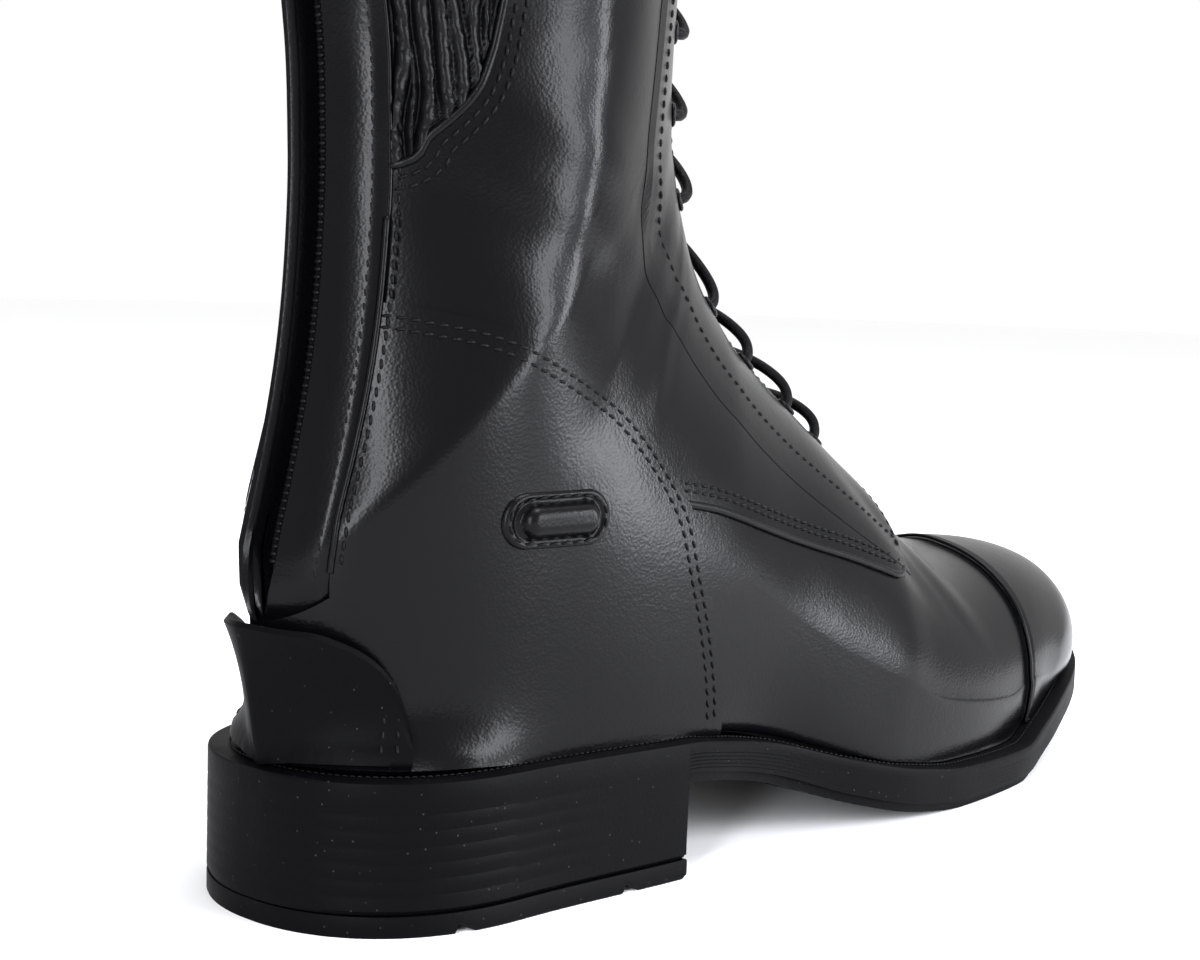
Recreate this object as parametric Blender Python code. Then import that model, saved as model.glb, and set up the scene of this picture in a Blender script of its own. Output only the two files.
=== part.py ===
"""Riding boot for the right foot, in metres.

x runs from heel to toe, y towards the inner side of the foot and z up.
The origin lies on the floor under the middle of the heel.
"""
import math

import bmesh
import bpy
import numpy as np

# Sole
SOLE_LENGTH = 0.290
HEEL_WIDTH = 0.073
BALL_WIDTH = 0.096
HEEL_LENGTH = 0.0836
HEEL_RISE = 0.0205
SOLE_THICKNESS = 0.0096
TOE_SPRING = 0.0175
LIFT_THICKNESS = 0.0042
HEEL_ROUND = 0.040
TOE_ROUND = 0.065
ROUND_POWER = 2.2
SOLE_BEVEL = 0.0008
TREAD_HEIGHT = 0.0022
TREAD_INSET = 0.0016
STACK_LINES = 4
STACK_DEPTH = 0.0005
LIFT_GROOVES = (0.306, 0.811)
LIFT_GROOVE_WIDTH = 0.0045
LIFT_GROOVE_DEPTH = 0.0018
TREAD_BARS = 6
TREAD_BAR_DEPTH = 0.0012
TREAD_BAR_WIDTH = 0.004
INSOLE_THICKNESS = 0.0025
INSOLE_MARGIN = 0.003

# Upper
INSTEP_RISE = 0.120
SHAFT_RISE = 0.310
ANKLE_WIDTH = 0.066
CALF_WIDTH = 0.106
LEDGE = 0.0055
WALL = 0.0024
VAMP_STEP = 0.0009
THROAT_HALF = 0.0055
TONGUE_THICKNESS = 0.0016

# Overlays
OVERLAY = 0.0012
BACKSTAY_THICKNESS = 0.0016
BACKSTAY_WIDTH = 0.0105
FLAP_HEIGHT = 0.0016
GUSSET_RECESS = 0.0011
SPUR_REST_THICKNESS = 0.0017
SPUR_REST_LIP = 0.0060
KEEPER_LENGTH = 0.0258
KEEPER_HEIGHT = 0.0112
KEEPER_THICKNESS = 0.0012
KEEPER_BAR = (0.0165, 0.0048, 0.0022)
BINDING_THICKNESS = 0.0011

# Zip, lace and eyelets
ZIP_HALF_GAP = 0.0036
ZIP_CHAIN_WIDTH = 0.0036
ZIP_CHAIN_HEIGHT = 0.0018
ZIP_TAPE_THICKNESS = 0.0009
SLIDER_LENGTH = 0.011
SLIDER_WIDTH = 0.0064
SLIDER_HEIGHT = 0.0028
EAR_THICKNESS = 0.0010
PULL_LENGTH = 0.026
PULL_THICKNESS = 0.0014
HINGE_RADIUS = 0.0007
HINGE_RISE = 0.0024
HINGE_CLEARANCE = 0.0003
LACE_DIAMETER = 0.0026
LACE_ARCH = 0.0034
LACE_POINTS = 8
EYELET_SPREAD = 0.0098
EYELET_RADIUS = 0.0027
EYELET_WIRE = 0.0008
EYELET_SEAT = 0.0006

# Clearance between pieces that touch
GAP = 0.0003
# Clearance over the ledge, where the edge of the upper runs in chords along the curved ledge
SEAT_GAP = 0.0007

# Seat of the origin: the middle of the heel, measured from the back of the sole
HEEL_CENTRE = HEEL_LENGTH / 2

# Outline of the sole: place along the sole, share of ball width (the rest is heel width),
# and the outer and inner half widths as shares of half that width.
OUTLINE = np.array([
    # along, ball, outer, inner
    (0.00, 0.0, 1.00, 1.00),
    (0.12, 0.0, 1.00, 1.00),
    (0.28, 0.2, 1.04, 0.92),
    (0.40, 0.5, 0.92, 0.74),
    (0.55, 0.8, 1.06, 0.88),
    (0.70, 1.0, 0.985, 0.98),
    (0.85, 1.0, 0.79, 0.90),
    (1.00, 1.0, 0.63, 0.72),
])

# Side view of the sole: heel rise, toe spring and thickness as shares of the named sizes.
PROFILE = np.array([
    # along, rise, spring, thickness
    (0.00, 1.04, 0.00, 0.905),
    (0.29, 0.99, 0.00, 0.915),
    (0.34, 0.89, 0.00, 0.93),
    (0.40, 0.70, 0.00, 0.99),
    (0.48, 0.33, 0.00, 1.09),
    (0.55, 0.10, 0.00, 1.12),
    (0.62, 0.00, 0.00, 1.07),
    (0.70, 0.00, 0.00, 1.00),
    (0.73, 0.00, 0.00, 0.99),
    (0.776, 0.00, 0.21, 0.97),
    (0.85, 0.00, 0.52, 0.95),
    (0.93, 0.00, 0.783, 0.885),
    (1.00, 0.00, 1.00, 0.79),
])

# Sections of the upper from the toe, round the heel and up the shaft. Each is a slanted ring from
# a front point to an end point, which lies on the feather line or on the back line.
# front and end are shares of the sole length. A lift up to 1 is a share of the instep rise above
# the sole, and past 1 a share of the shaft rise. girth runs from 0, ball, through 1, ankle, to
# 2, calf; outer and inner are shares of half that width, widest at the share deep of the way back.
SECTIONS = np.array([
    # front, front_lift, end, end_lift, girth, outer, inner, deep, front_power, back_power, inner_back
    (0.979, 0.068, 0.868, 0, 0, 0.58, 0.68, 0.9, 1.75, 3, 3),
    (0.976, 0.142, 0.85, 0, 0, 0.62, 0.72, 0.86, 1.78, 3, 3),
    (0.964, 0.211, 0.834, 0, 0, 0.655, 0.75, 0.82, 1.8, 3, 3),
    (0.937, 0.27, 0.819, 0, 0, 0.69, 0.775, 0.79, 1.83, 3, 3),
    (0.896, 0.316, 0.804, 0, 0, 0.725, 0.8, 0.77, 1.87, 3, 3),
    (0.843, 0.353, 0.787, 0, 0, 0.77, 0.835, 0.75, 1.95, 3, 3),
    (0.784, 0.378, 0.769, 0, 0, 0.815, 0.87, 0.74, 2.05, 3, 3),
    (0.728, 0.408, 0.717, 0.000, 0.00, 0.88, 0.89, 0.74, 2.0, 2.8, 2.8),
    (0.679, 0.447, 0.662, 0.000, 0.00, 0.91, 0.88, 0.74, 1.9, 2.6, 2.6),
    (0.631, 0.518, 0.603, 0.000, 0.00, 0.91, 0.845, 0.74, 1.8, 2.5, 2.5),
    (0.606, 0.558, 0.573, 0.000, 0.00, 0.90, 0.825, 0.73, 1.77, 2.5, 2.5),
    (0.577, 0.598, 0.541, 0.000, 0.00, 0.89, 0.80, 0.72, 1.75, 2.5, 2.5),
    (0.526, 0.655, 0.476, 0.000, 0.05, 0.85, 0.76, 0.70, 1.7, 2.5, 2.5),
    (0.477, 0.695, 0.407, 0.000, 0.30, 0.865, 0.79, 0.67, 1.65, 2.5, 2.5),
    (0.437, 0.748, 0.338, 0.000, 0.50, 0.91, 0.82, 0.63, 1.6, 2.5, 2.5),
    (0.411, 0.816, 0.269, 0.000, 0.70, 0.97, 0.87, 0.60, 1.55, 2.5, 2.45),
    (0.396, 0.898, 0.200, 0.000, 0.85, 1.005, 0.92, 0.57, 1.5, 2.4, 2.3),
    (0.389, 0.972, 0.131, 0.000, 1.00, 1.05, 0.97, 0.55, 1.5, 2.3, 2.1),
    (0.386, 1.013, 0.069, 0.000, 1.00, 1.035, 0.965, 0.54, 1.5, 2.15, 1.9),
    (0.384, 1.032, 0.033, 0.000, 1.00, 1.025, 0.96, 0.54, 1.5, 2.05, 1.75),
    (0.383, 1.048, 0.0185, 0.000, 1.00, 1.015, 0.955, 0.54, 1.5, 2.0, 1.68),
    (0.383, 1.065, 0.0115, 0.117, 1.00, 1.01, 0.95, 0.54, 1.5, 1.95, 1.65),
    (0.382, 1.081, 0.0105, 0.233, 1.00, 1.005, 0.945, 0.54, 1.5, 1.9, 1.62),
    (0.382, 1.097, 0.017, 0.342, 1.00, 1.005, 0.95, 0.54, 1.5, 1.8, 1.55),
    (0.382, 1.113, 0.028, 0.450, 1.00, 1.00, 0.96, 0.54, 1.5, 1.7, 1.48),
    (0.382, 1.129, 0.038, 0.558, 1.00, 1.00, 0.97, 0.54, 1.5, 1.64, 1.4),
    (0.383, 1.148, 0.046, 0.675, 1.00, 1.00, 0.98, 0.54, 1.5, 1.62, 1.36),
    (0.3845, 1.168, 0.051, 0.800, 1.00, 1.00, 0.99, 0.54, 1.5, 1.62, 1.35),
    (0.387, 1.190, 0.053, 0.933, 1.01, 1.00, 0.99, 0.54, 1.52, 1.62, 1.36),
    (0.3905, 1.216, 0.052, 1.029, 1.07, 1.00, 0.99, 0.54, 1.56, 1.63, 1.38),
    (0.395, 1.248, 0.046, 1.090, 1.17, 1.00, 0.99, 0.53, 1.62, 1.66, 1.45),
    (0.399, 1.287, 0.037, 1.161, 1.33, 1.00, 1.00, 0.52, 1.7, 1.72, 1.55),
    (0.405, 1.335, 0.025, 1.242, 1.50, 1.00, 1.00, 0.51, 1.8, 1.8, 1.68),
    (0.411, 1.397, 0.011, 1.335, 1.68, 1.00, 1.00, 0.50, 1.9, 1.9, 1.8),
    (0.417, 1.474, -0.001, 1.445, 1.85, 1.00, 1.00, 0.50, 1.95, 2.0, 1.95),
    (0.422, 1.568, -0.009, 1.565, 1.95, 1.00, 1.00, 0.50, 2.0, 2.1, 2.1),
    (0.426, 1.703, -0.011, 1.703, 2.00, 1.00, 1.00, 0.50, 2.0, 2.1, 2.1),
    (0.428, 1.852, -0.004, 1.852, 2.00, 1.00, 1.00, 0.50, 2.0, 2.1, 2.1),
    (0.428, 1.97, 0.003, 1.97, 1.985, 1.00, 1.00, 0.50, 2, 2.1, 2.1),
    (0.428, 2.000, 0.005, 2.000, 1.98, 1.00, 1.00, 0.50, 2.0, 2.1, 2.1),
])
LAST_ROW = len(SECTIONS) - 1
BACK_ROW = 20
COLLAR_ROW = LAST_ROW - 1
ZIP_ROW = 22
TOE_SEAM_ROW = 6
THROAT_ROWS = (11, 30)
TONGUE_ROWS = (10, 31)
FACING_ROWS = (10, 32)
FRONT_COLUMNS = 6
BACK_COLUMNS = 6
EDGE = FRONT_COLUMNS + BACK_COLUMNS
STAY_COLUMN = EDGE - 2
FACING_COLUMN = 4

# Sections of the eyelet pairs, from the toe end to the top of the throat
LACE_SECTIONS = (11.35, 12.1, 13.25, 14.55, 17.4, 20.7, 24.0, 26.8, 29.0)

# Seams in side view, as shares of the sole length and of the instep rise above the heel seat
QUARTER_SEAM = ((0.22, 0.43), (0.312, 0.397), (0.349, 0.377), (0.396, 0.342), (0.451, 0.303),
                (0.503, 0.269), (0.540, 0.242), (0.572, 0.221), (0.590, 0.240), (0.599, 0.285),
                (0.612, 0.330), (0.630, 0.380), (0.650, 0.450), (0.67, 0.60))
COUNTER_SEAM = ((0.345, -0.12), (0.337, 0.02), (0.333, 0.086), (0.323, 0.197), (0.312, 0.289),
                (0.301, 0.385), (0.281, 0.466), (0.252, 0.546), (0.222, 0.603), (0.169, 0.666),
                (0.124, 0.712), (0.09, 0.732), (0.06, 0.745), (0.0, 0.75))
GUSSET_EDGE = ((-0.06, 0.935), (0.067, 0.955), (0.091, 1.004), (0.110, 1.025), (0.120, 1.045),
               (0.127, 1.075), (0.130, 1.15), (0.134, 1.30), (0.140, 1.60), (0.145, 1.93), (-0.06, 1.93))
SPUR_REST_EDGE = ((-0.05, 0.229), (-0.02, 0.229), (0.002, 0.224), (0.016, 0.201), (0.028, 0.162),
                  (0.036, 0.131), (0.040, 0.092), (0.040, 0.03), (0.040, -0.05))
KEEPER_PLACE = (0.170, 0.398)


def smooth_along(table, column, place):
    """Value of a table's column at a place in its first column, with no overshoot between rows."""
    xs = table[:, 0]
    ys = table[:, column]
    steps = np.diff(xs)
    slopes = np.diff(ys) / steps
    tangents = np.zeros(len(xs))
    for k in range(1, len(xs) - 1):
        if slopes[k - 1] * slopes[k] > 0:
            before = 2 * steps[k] + steps[k - 1]
            after = steps[k] + 2 * steps[k - 1]
            tangents[k] = (before + after) / (before / slopes[k - 1] + after / slopes[k])
    tangents[0] = slopes[0]
    tangents[-1] = slopes[-1]
    place = min(max(place, xs[0]), xs[-1])
    k = min(int(np.searchsorted(xs, place, side="right")) - 1, len(xs) - 2)
    t = (place - xs[k]) / steps[k]
    start = ys[k] * (1 + 2 * t) * (1 - t) ** 2 + tangents[k] * steps[k] * t * (1 - t) ** 2
    finish = ys[k + 1] * t * t * (3 - 2 * t) + tangents[k + 1] * steps[k] * t * t * (t - 1)
    return start + finish


def round_end(distance, length):
    """Share of the full width at a distance from a rounded end."""
    t = min(max(distance / length, 0.0), 1.0)
    return (1 - (1 - t) ** ROUND_POWER) ** (1 / ROUND_POWER)


def half_width(x, side, inset=0.0):
    """Half width of the sole, or of a line inset in it; side is -1 outside and 1 inside."""
    along = x / SOLE_LENGTH
    ball = smooth_along(OUTLINE, 1, along)
    width = HEEL_WIDTH * (1 - ball) + BALL_WIDTH * ball
    share = smooth_along(OUTLINE, 2 if side < 0 else 3, along)
    heel = round_end(x - inset, HEEL_ROUND - inset)
    toe = round_end(SOLE_LENGTH - inset - x, TOE_ROUND - inset)
    return (share * width / 2 - inset) * heel * toe


def underside(x):
    """Height of the sole's lower face in front of the heel."""
    along = x / SOLE_LENGTH
    return HEEL_RISE * smooth_along(PROFILE, 1, along) + TOE_SPRING * smooth_along(PROFILE, 2, along)


def ledge_height(x):
    """Height of the ledge on which the upper stands."""
    return underside(x) + SOLE_THICKNESS * smooth_along(PROFILE, 3, x / SOLE_LENGTH)


def lift_height(lift):
    """Height above the ledge for a lift in the table of sections."""
    return INSTEP_RISE * min(lift, 1.0) + SHAFT_RISE * max(lift - 1.0, 0.0)


def section_row(place):
    """Row of the table of sections at a whole or broken row number, by a smooth curve."""
    k = min(int(place), LAST_ROW - 1)
    t = place - k
    if t < 1e-9:
        return SECTIONS[k]
    before = SECTIONS[max(k - 1, 0)]
    here = SECTIONS[k]
    there = SECTIONS[k + 1]
    after = SECTIONS[min(k + 2, LAST_ROW)]
    bend = 2 * before - 5 * here + 4 * there - after
    twist = 3 * here - before - 3 * there + after
    return 0.5 * (2 * here + (there - before) * t + bend * t ** 2 + twist * t ** 3)


def section(place, side):
    """Measures of a section on one side: front and end points, widths, depth share and powers."""
    row = section_row(place)
    front_x, end_x = row[0] * SOLE_LENGTH, row[2] * SOLE_LENGTH
    base = ledge_height(max(end_x, 0.0)) + SEAT_GAP
    front = np.array((front_x, base + lift_height(row[1])))
    end = np.array((end_x, base + lift_height(row[3])))
    if place <= BACK_ROW:
        end_half = half_width(end_x, side, LEDGE) if place < BACK_ROW else 0.0
    else:
        end_half = ZIP_HALF_GAP * min(max(place - ZIP_ROW, 0.0), 1.0)
    girth = row[4]
    width = BALL_WIDTH + (ANKLE_WIDTH - BALL_WIDTH) * min(girth, 1.0)
    width += (CALF_WIDTH - ANKLE_WIDTH) * max(girth - 1.0, 0.0)
    widest = max(row[5 if side < 0 else 6] * width / 2, end_half)
    return front, end, widest, end_half, row[7], row[8], row[9 if side < 0 else 10]


def point_on(front, end, share, half, side):
    x, z = front + (end - front) * share
    z = max(z, ledge_height(min(max(x, 0.0), SOLE_LENGTH)) + SEAT_GAP)
    return np.array((x, side * half, z))


def front_point(place, side, half):
    """Point of the upper on the front part of a section, at a half width from the middle."""
    front, end, widest, _, deep, power, _ = section(place, side)
    cosine = (1 - (half / widest) ** power) ** (1 / power)
    return point_on(front, end, deep * (1 - cosine), half, side)


def fade(value, start, finish):
    """Share that falls smoothly from 1 at start to 0 at finish."""
    t = min(max((value - start) / (finish - start), 0.0), 1.0)
    return 1 - t * t * (3 - 2 * t)


def column_points(place, side):
    """Points of a section from the front middle to its end, one for each column."""
    front, end, widest, end_half, deep, power, back_power = section(place, side)
    first = math.acos((1 - (THROAT_HALF / widest) ** power) ** (1 / power))
    points = [point_on(front, end, 0.0, 0.0, side)]
    for k in range(FRONT_COLUMNS):
        angle = first + (math.pi / 2 - first) * k / (FRONT_COLUMNS - 1)
        cosine = max(math.cos(angle), 0.0)
        half = widest * (1 - cosine ** power) ** (1 / power)
        points.append(point_on(front, end, deep * (1 - cosine), half, side))
    share = min(BACKSTAY_WIDTH / max(widest - end_half, BACKSTAY_WIDTH / 0.6), 0.6)
    last = math.asin((1 - share ** back_power) ** (1 / back_power))
    plain = BACK_COLUMNS - 2
    angles = [last * k / plain for k in range(1, plain + 1)]
    angles += [(last + math.pi / 2) / 2, math.pi / 2]
    even = fade(place, BACK_ROW - 3, ZIP_ROW - 1)
    angles = [angle * (1 - even) + math.asin(k / BACK_COLUMNS) * even for k, angle in enumerate(angles, start=1)]
    for angle in angles:
        sine = min(math.sin(angle), 1.0)
        half = end_half + (widest - end_half) * (1 - sine ** back_power) ** (1 / back_power)
        points.append(point_on(front, end, deep + (1 - deep) * sine, half, side))
    return points


def upper_grid():
    """Points and outward normals of the upper's outer face, by row and column."""
    points = np.zeros((LAST_ROW + 1, 2 * EDGE + 1, 3))
    for row in range(LAST_ROW + 1):
        for side in (-1, 1):
            for column, point in enumerate(column_points(row, side)):
                points[row, EDGE + side * column] = point
    normals = np.zeros_like(points)
    across = points[:-1, 1:] - points[1:, :-1]
    along = points[1:, 1:] - points[:-1, :-1]
    faces = np.cross(along, across)
    for i, j in ((0, 0), (0, 1), (1, 0), (1, 1)):
        normals[i:i + LAST_ROW, j:j + 2 * EDGE] += faces
    closed = range(BACK_ROW, ZIP_ROW + 1)
    for row in closed:
        both = normals[row, 0] + normals[row, -1]
        both[1] = 0.0
        normals[row, 0] = both
        normals[row, -1] = both
    normals[:, EDGE, 1] = 0.0
    normals /= np.linalg.norm(normals, axis=2)[:, :, None]
    if normals[LAST_ROW, EDGE - FRONT_COLUMNS, 1] > 0:
        normals = -normals
    return points, normals


GRID, NORMALS = upper_grid()


def place(x, y, z):
    """Vertex in the model's frame for a place measured from the back of the sole."""
    return (x - HEEL_CENTRE, y, z)


def finish(name, colour, roughness, metallic):
    material = bpy.data.materials.new(name)
    material.use_nodes = True
    shader = material.node_tree.nodes["Principled BSDF"]
    shader.inputs["Base Color"].default_value = (*colour, 1.0)
    shader.inputs["Roughness"].default_value = roughness
    shader.inputs["Metallic"].default_value = metallic
    return material


def add_object(name, verts, faces, colour, roughness=0.5, metallic=0.0, smooth=35):
    mesh = bpy.data.meshes.new(name)
    mesh.from_pydata([place(*v) for v in verts], [], faces)
    work = bmesh.new()
    work.from_mesh(mesh)
    bmesh.ops.remove_doubles(work, verts=work.verts, dist=1e-7)
    bmesh.ops.recalc_face_normals(work, faces=work.faces)
    bmesh.ops.triangulate(work, faces=[f for f in work.faces if len(f.verts) > 4])
    work.to_mesh(mesh)
    work.free()
    mesh.shade_smooth()
    mesh.set_sharp_from_angle(angle=math.radians(smooth))
    thing = bpy.data.objects.new(name, mesh)
    bpy.context.scene.collection.objects.link(thing)
    if colour is not None:
        mesh.materials.append(finish(name, colour, roughness, metallic))
    return thing


LEATHER = (0.012, 0.012, 0.015)
LINING = (0.03, 0.03, 0.033)
RUBBER = (0.022, 0.022, 0.026)
ELASTIC = (0.015, 0.015, 0.018)
METAL = (0.05, 0.05, 0.055)


def add_curve(name, curve, colour, roughness):
    thing = bpy.data.objects.new(name, curve)
    bpy.context.scene.collection.objects.link(thing)
    thing.data.materials.append(finish(name, colour, roughness, 0.0))
    return thing


def guide(thing):
    """Mark an object as a cutter, which is no piece of the boot."""
    thing.hide_render = True
    thing.display_type = "WIRE"
    return thing


def carve(thing, cutter, operation):
    cut = thing.modifiers.new(operation.title(), "BOOLEAN")
    cut.operation = operation
    cut.solver = "EXACT"
    cut.object = cutter


def shell_faces(cells, inner, outer, trim):
    """Vertices and faces of a closed layer between two offsets of the upper's outer face.

    cells lists the (row, column) cells; a row below 0 or a column past the edge runs on downwards.
    trim lists (row step, column step, row or column) for edges drawn in by a clearance.
    """
    overrun = 0.004

    def corner(row, column):
        inside = (min(max(row, 0), LAST_ROW), min(max(column, -EDGE), EDGE))
        if BACK_ROW <= inside[0] <= ZIP_ROW and column == -EDGE:
            inside = (inside[0], EDGE)
        beyond = max(-row, 0) + max(abs(column) - EDGE, 0)
        return inside, beyond

    def offset(key, distance):
        (row, column), beyond = key
        reach = distance(row, column) if callable(distance) else distance
        point = GRID[row, column + EDGE] + NORMALS[row, column + EDGE] * reach
        for row_step, column_step, edge in trim:
            if (row if row_step else column) == edge:
                inwards = GRID[row + row_step, column + column_step + EDGE] - GRID[row, column + EDGE]
                point = point + inwards * (2 * GAP / np.linalg.norm(inwards))
        x, y, z = point
        floor = ledge_height(min(max(x, 0.0), SOLE_LENGTH)) + SEAT_GAP
        return (x, y, max(z, floor) - overrun * beyond)

    quads = []
    for row, column in cells:
        quads.append([corner(row, column), corner(row, column + 1),
                      corner(row + 1, column + 1), corner(row + 1, column)])
    keys = sorted({key for quad in quads for key in quad})
    index = {key: k for k, key in enumerate(keys)}
    verts = [offset(key, outer) for key in keys] + [offset(key, inner) for key in keys]
    count = len(keys)
    edges = {}
    faces = []
    for quad in quads:
        ring = [index[key] for key in quad]
        a, b, c, d = (GRID[key[0][0], key[0][1] + EDGE] for key in quad)
        if np.linalg.norm(a - c) > np.linalg.norm(b - d):
            ring = ring[1:] + ring[:1]
        for corners in ((0, 1, 2), (0, 2, 3)):
            half = [ring[k] for k in corners]
            faces.append(half)
            faces.append([k + count for k in reversed(half)])
        for a, b in zip(ring, ring[1:] + ring[:1]):
            if (b, a) in edges:
                del edges[(b, a)]
            else:
                edges[(a, b)] = True
    for a, b in edges:
        faces.append([b, a, a + count, b + count])
    return verts, faces


def block(rows, columns):
    """Cells between two rows and between two columns."""
    return [(row, column) for row in range(*rows) for column in range(*columns)]


def shell(name, cells, inner, outer, colour, roughness=0.4, trim=()):
    verts, faces = shell_faces(cells, inner, outer, trim)
    return add_object(name, verts, faces, colour, roughness)


def side_prism(name, outline, y_low, y_high):
    """Cutter with a side-view outline in metres, run across the boot."""
    count = len(outline)
    verts = [(x, y_low, z) for x, z in outline] + [(x, y_high, z) for x, z in outline]
    faces = [list(range(count)), list(range(2 * count - 1, count - 1, -1))]
    for k in range(count):
        after = (k + 1) % count
        faces.append([k, k + count, after + count, after])
    return guide(add_object(name, verts, faces, None))


def seam_points(seam, refine=3):
    """Side-view points of a seam in metres, on a smooth curve through its table."""
    seat = ledge_height(0.0)
    raw = [np.array((x * SOLE_LENGTH, seat + (lift_height(z) if z > 0 else z * INSTEP_RISE)))
           for x, z in seam]
    raw = [2 * raw[0] - raw[1]] + raw + [2 * raw[-1] - raw[-2]]
    points = []
    for k in range(1, len(raw) - 2):
        for step in range(refine):
            t = step / refine
            a, b, c, d = raw[k - 1:k + 3]
            points.append(0.5 * (2 * b + (c - a) * t + (2 * a - 5 * b + 4 * c - d) * t ** 2
                                 + (3 * b - a - 3 * c + d) * t ** 3))
    points.append(raw[-2])
    return [tuple(point) for point in points]


def loft(name, rings, colour, roughness=0.6):
    """Closed solid through rings of equal length, with its two ends filled."""
    size = len(rings[0])
    verts = [point for ring in rings for point in ring]
    faces = []
    for row in range(len(rings) - 1):
        for k in range(size):
            after = (k + 1) % size
            faces.append([row * size + k, row * size + after,
                          (row + 1) * size + after, (row + 1) * size + k])
    faces.append(list(range(size)))
    faces.append([(len(rings) - 1) * size + k for k in reversed(range(size))])
    return add_object(name, verts, faces, colour, roughness)


def heel_stations(inset=0.0):
    """Places along the heel's rounded back, close together where it turns."""
    angles = (10, 22, 35, 48, 62, 76, 90)
    return [inset + (HEEL_ROUND - inset) * (1 - math.cos(math.radians(a))) for a in angles]


def toe_stations(inset=0.0):
    """Places along the rounded toe, close together where it turns."""
    angles = (90, 76, 62, 48, 35, 22, 10)
    length = TOE_ROUND - inset
    return [SOLE_LENGTH - inset - length * (1 - math.cos(math.radians(a))) for a in angles]


def mirror_ring(x, side_profile):
    """Ring across the boot from a profile of (inset, height) pairs, down one side and up the other."""
    outer = [(x, -max(half_width(x, -1) - inset, 0.0005), z) for inset, z in side_profile]
    inner = [(x, max(half_width(x, 1) - inset, 0.0005), z) for inset, z in side_profile]
    return outer + inner[::-1]


def outsole():
    """One moulded rubber unit: sole with its ledge and the heel block with stacked lines."""
    rings = []
    heel_bottom = LIFT_THICKNESS + GAP
    waist = list(np.linspace(HEEL_LENGTH, SOLE_LENGTH - TOE_ROUND, 12))[1:-1]
    step = 2 * GAP
    heel = heel_stations() + list(np.linspace(HEEL_ROUND, HEEL_LENGTH - step, 4))[1:]
    for number, x in enumerate(heel + [HEEL_LENGTH] + waist + toe_stations()):
        top = ledge_height(x)
        in_heel = number < len(heel)
        bottom = heel_bottom if in_heel else underside(x)
        inset = 0.0 if in_heel else TREAD_INSET
        tread = SOLE_BEVEL if in_heel else TREAD_HEIGHT
        depth = STACK_DEPTH * fade(x, HEEL_ROUND, 0.75 * HEEL_LENGTH)
        side = [(SOLE_BEVEL, top), (0.0, top - SOLE_BEVEL)]
        height = top - SOLE_BEVEL - bottom - tread
        for line in range(STACK_LINES):
            share = 0.22 + 0.66 * line / (STACK_LINES - 1)
            level = top - SOLE_BEVEL - height * share
            side += [(0.0, level), (depth, level - 0.0005)]
        side += [(0.0, bottom + tread), (max(inset, SOLE_BEVEL / 2), bottom + tread - 0.0002),
                 (max(inset, SOLE_BEVEL), bottom)]
        rings.append(mirror_ring(x, side))
    sole = loft("outsole", rings, RUBBER)
    bars = []
    faces = []
    for bar in range(TREAD_BARS):
        x = SOLE_LENGTH * (0.58 + 0.19 * bar / (TREAD_BARS - 1))
        for y in (-0.32 * BALL_WIDTH, 0.32 * BALL_WIDTH):
            for dx, dz in ((-0.5, -1), (-0.3, 1), (0.3, 1), (0.5, -1)):
                height = TREAD_BAR_DEPTH if dz > 0 else -2 * TREAD_BAR_DEPTH
                bars.append((x + dx * TREAD_BAR_WIDTH, y, underside(x) + height))
        base = 8 * bar
        faces += [[base + k for k in range(4)], [base + k for k in (7, 6, 5, 4)]]
        faces += [[base + k, base + (k + 1) % 4, base + 4 + (k + 1) % 4, base + 4 + k] for k in range(4)]
    carve(sole, guide(add_object("tread_cutter", bars, faces, None)), "DIFFERENCE")


def heel_top_lift():
    """Wearing piece under the heel, with two tread channels across it."""
    stations = [(x, 0.0) for x in heel_stations()]
    half = LIFT_GROOVE_WIDTH / 2
    for share in LIFT_GROOVES:
        x = share * HEEL_LENGTH
        stations += [(x - half, 0.0), (x - 0.6 * half, LIFT_GROOVE_DEPTH), (x + half, 0.0)]
    stations += [(0.6 * HEEL_LENGTH, 0.0), (HEEL_LENGTH - 0.001, 0.0), (HEEL_LENGTH, SOLE_BEVEL)]
    rings = []
    for x, bottom in sorted(stations):
        side = [(SOLE_BEVEL / 4, LIFT_THICKNESS), (0.0, LIFT_THICKNESS - SOLE_BEVEL / 2),
                (0.0, bottom + SOLE_BEVEL / 2), (SOLE_BEVEL / 2, bottom)]
        rings.append(mirror_ring(x, side))
    loft("heel_top_lift", rings, RUBBER)


def insole():
    inset = LEDGE + WALL + INSOLE_MARGIN
    stations = heel_stations(inset) + list(np.linspace(HEEL_ROUND, SOLE_LENGTH - TOE_ROUND, 14))[1:-1]
    rings = []
    for x in stations + toe_stations(inset):
        low = ledge_height(x) + GAP
        outer = half_width(x, -1, inset)
        inner = half_width(x, 1, inset)
        rings.append([(x, -outer, low), (x, -outer, low + INSOLE_THICKNESS),
                      (x, inner, low + INSOLE_THICKNESS), (x, inner, low)])
    loft("insole", rings, LINING, 0.8)


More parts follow.
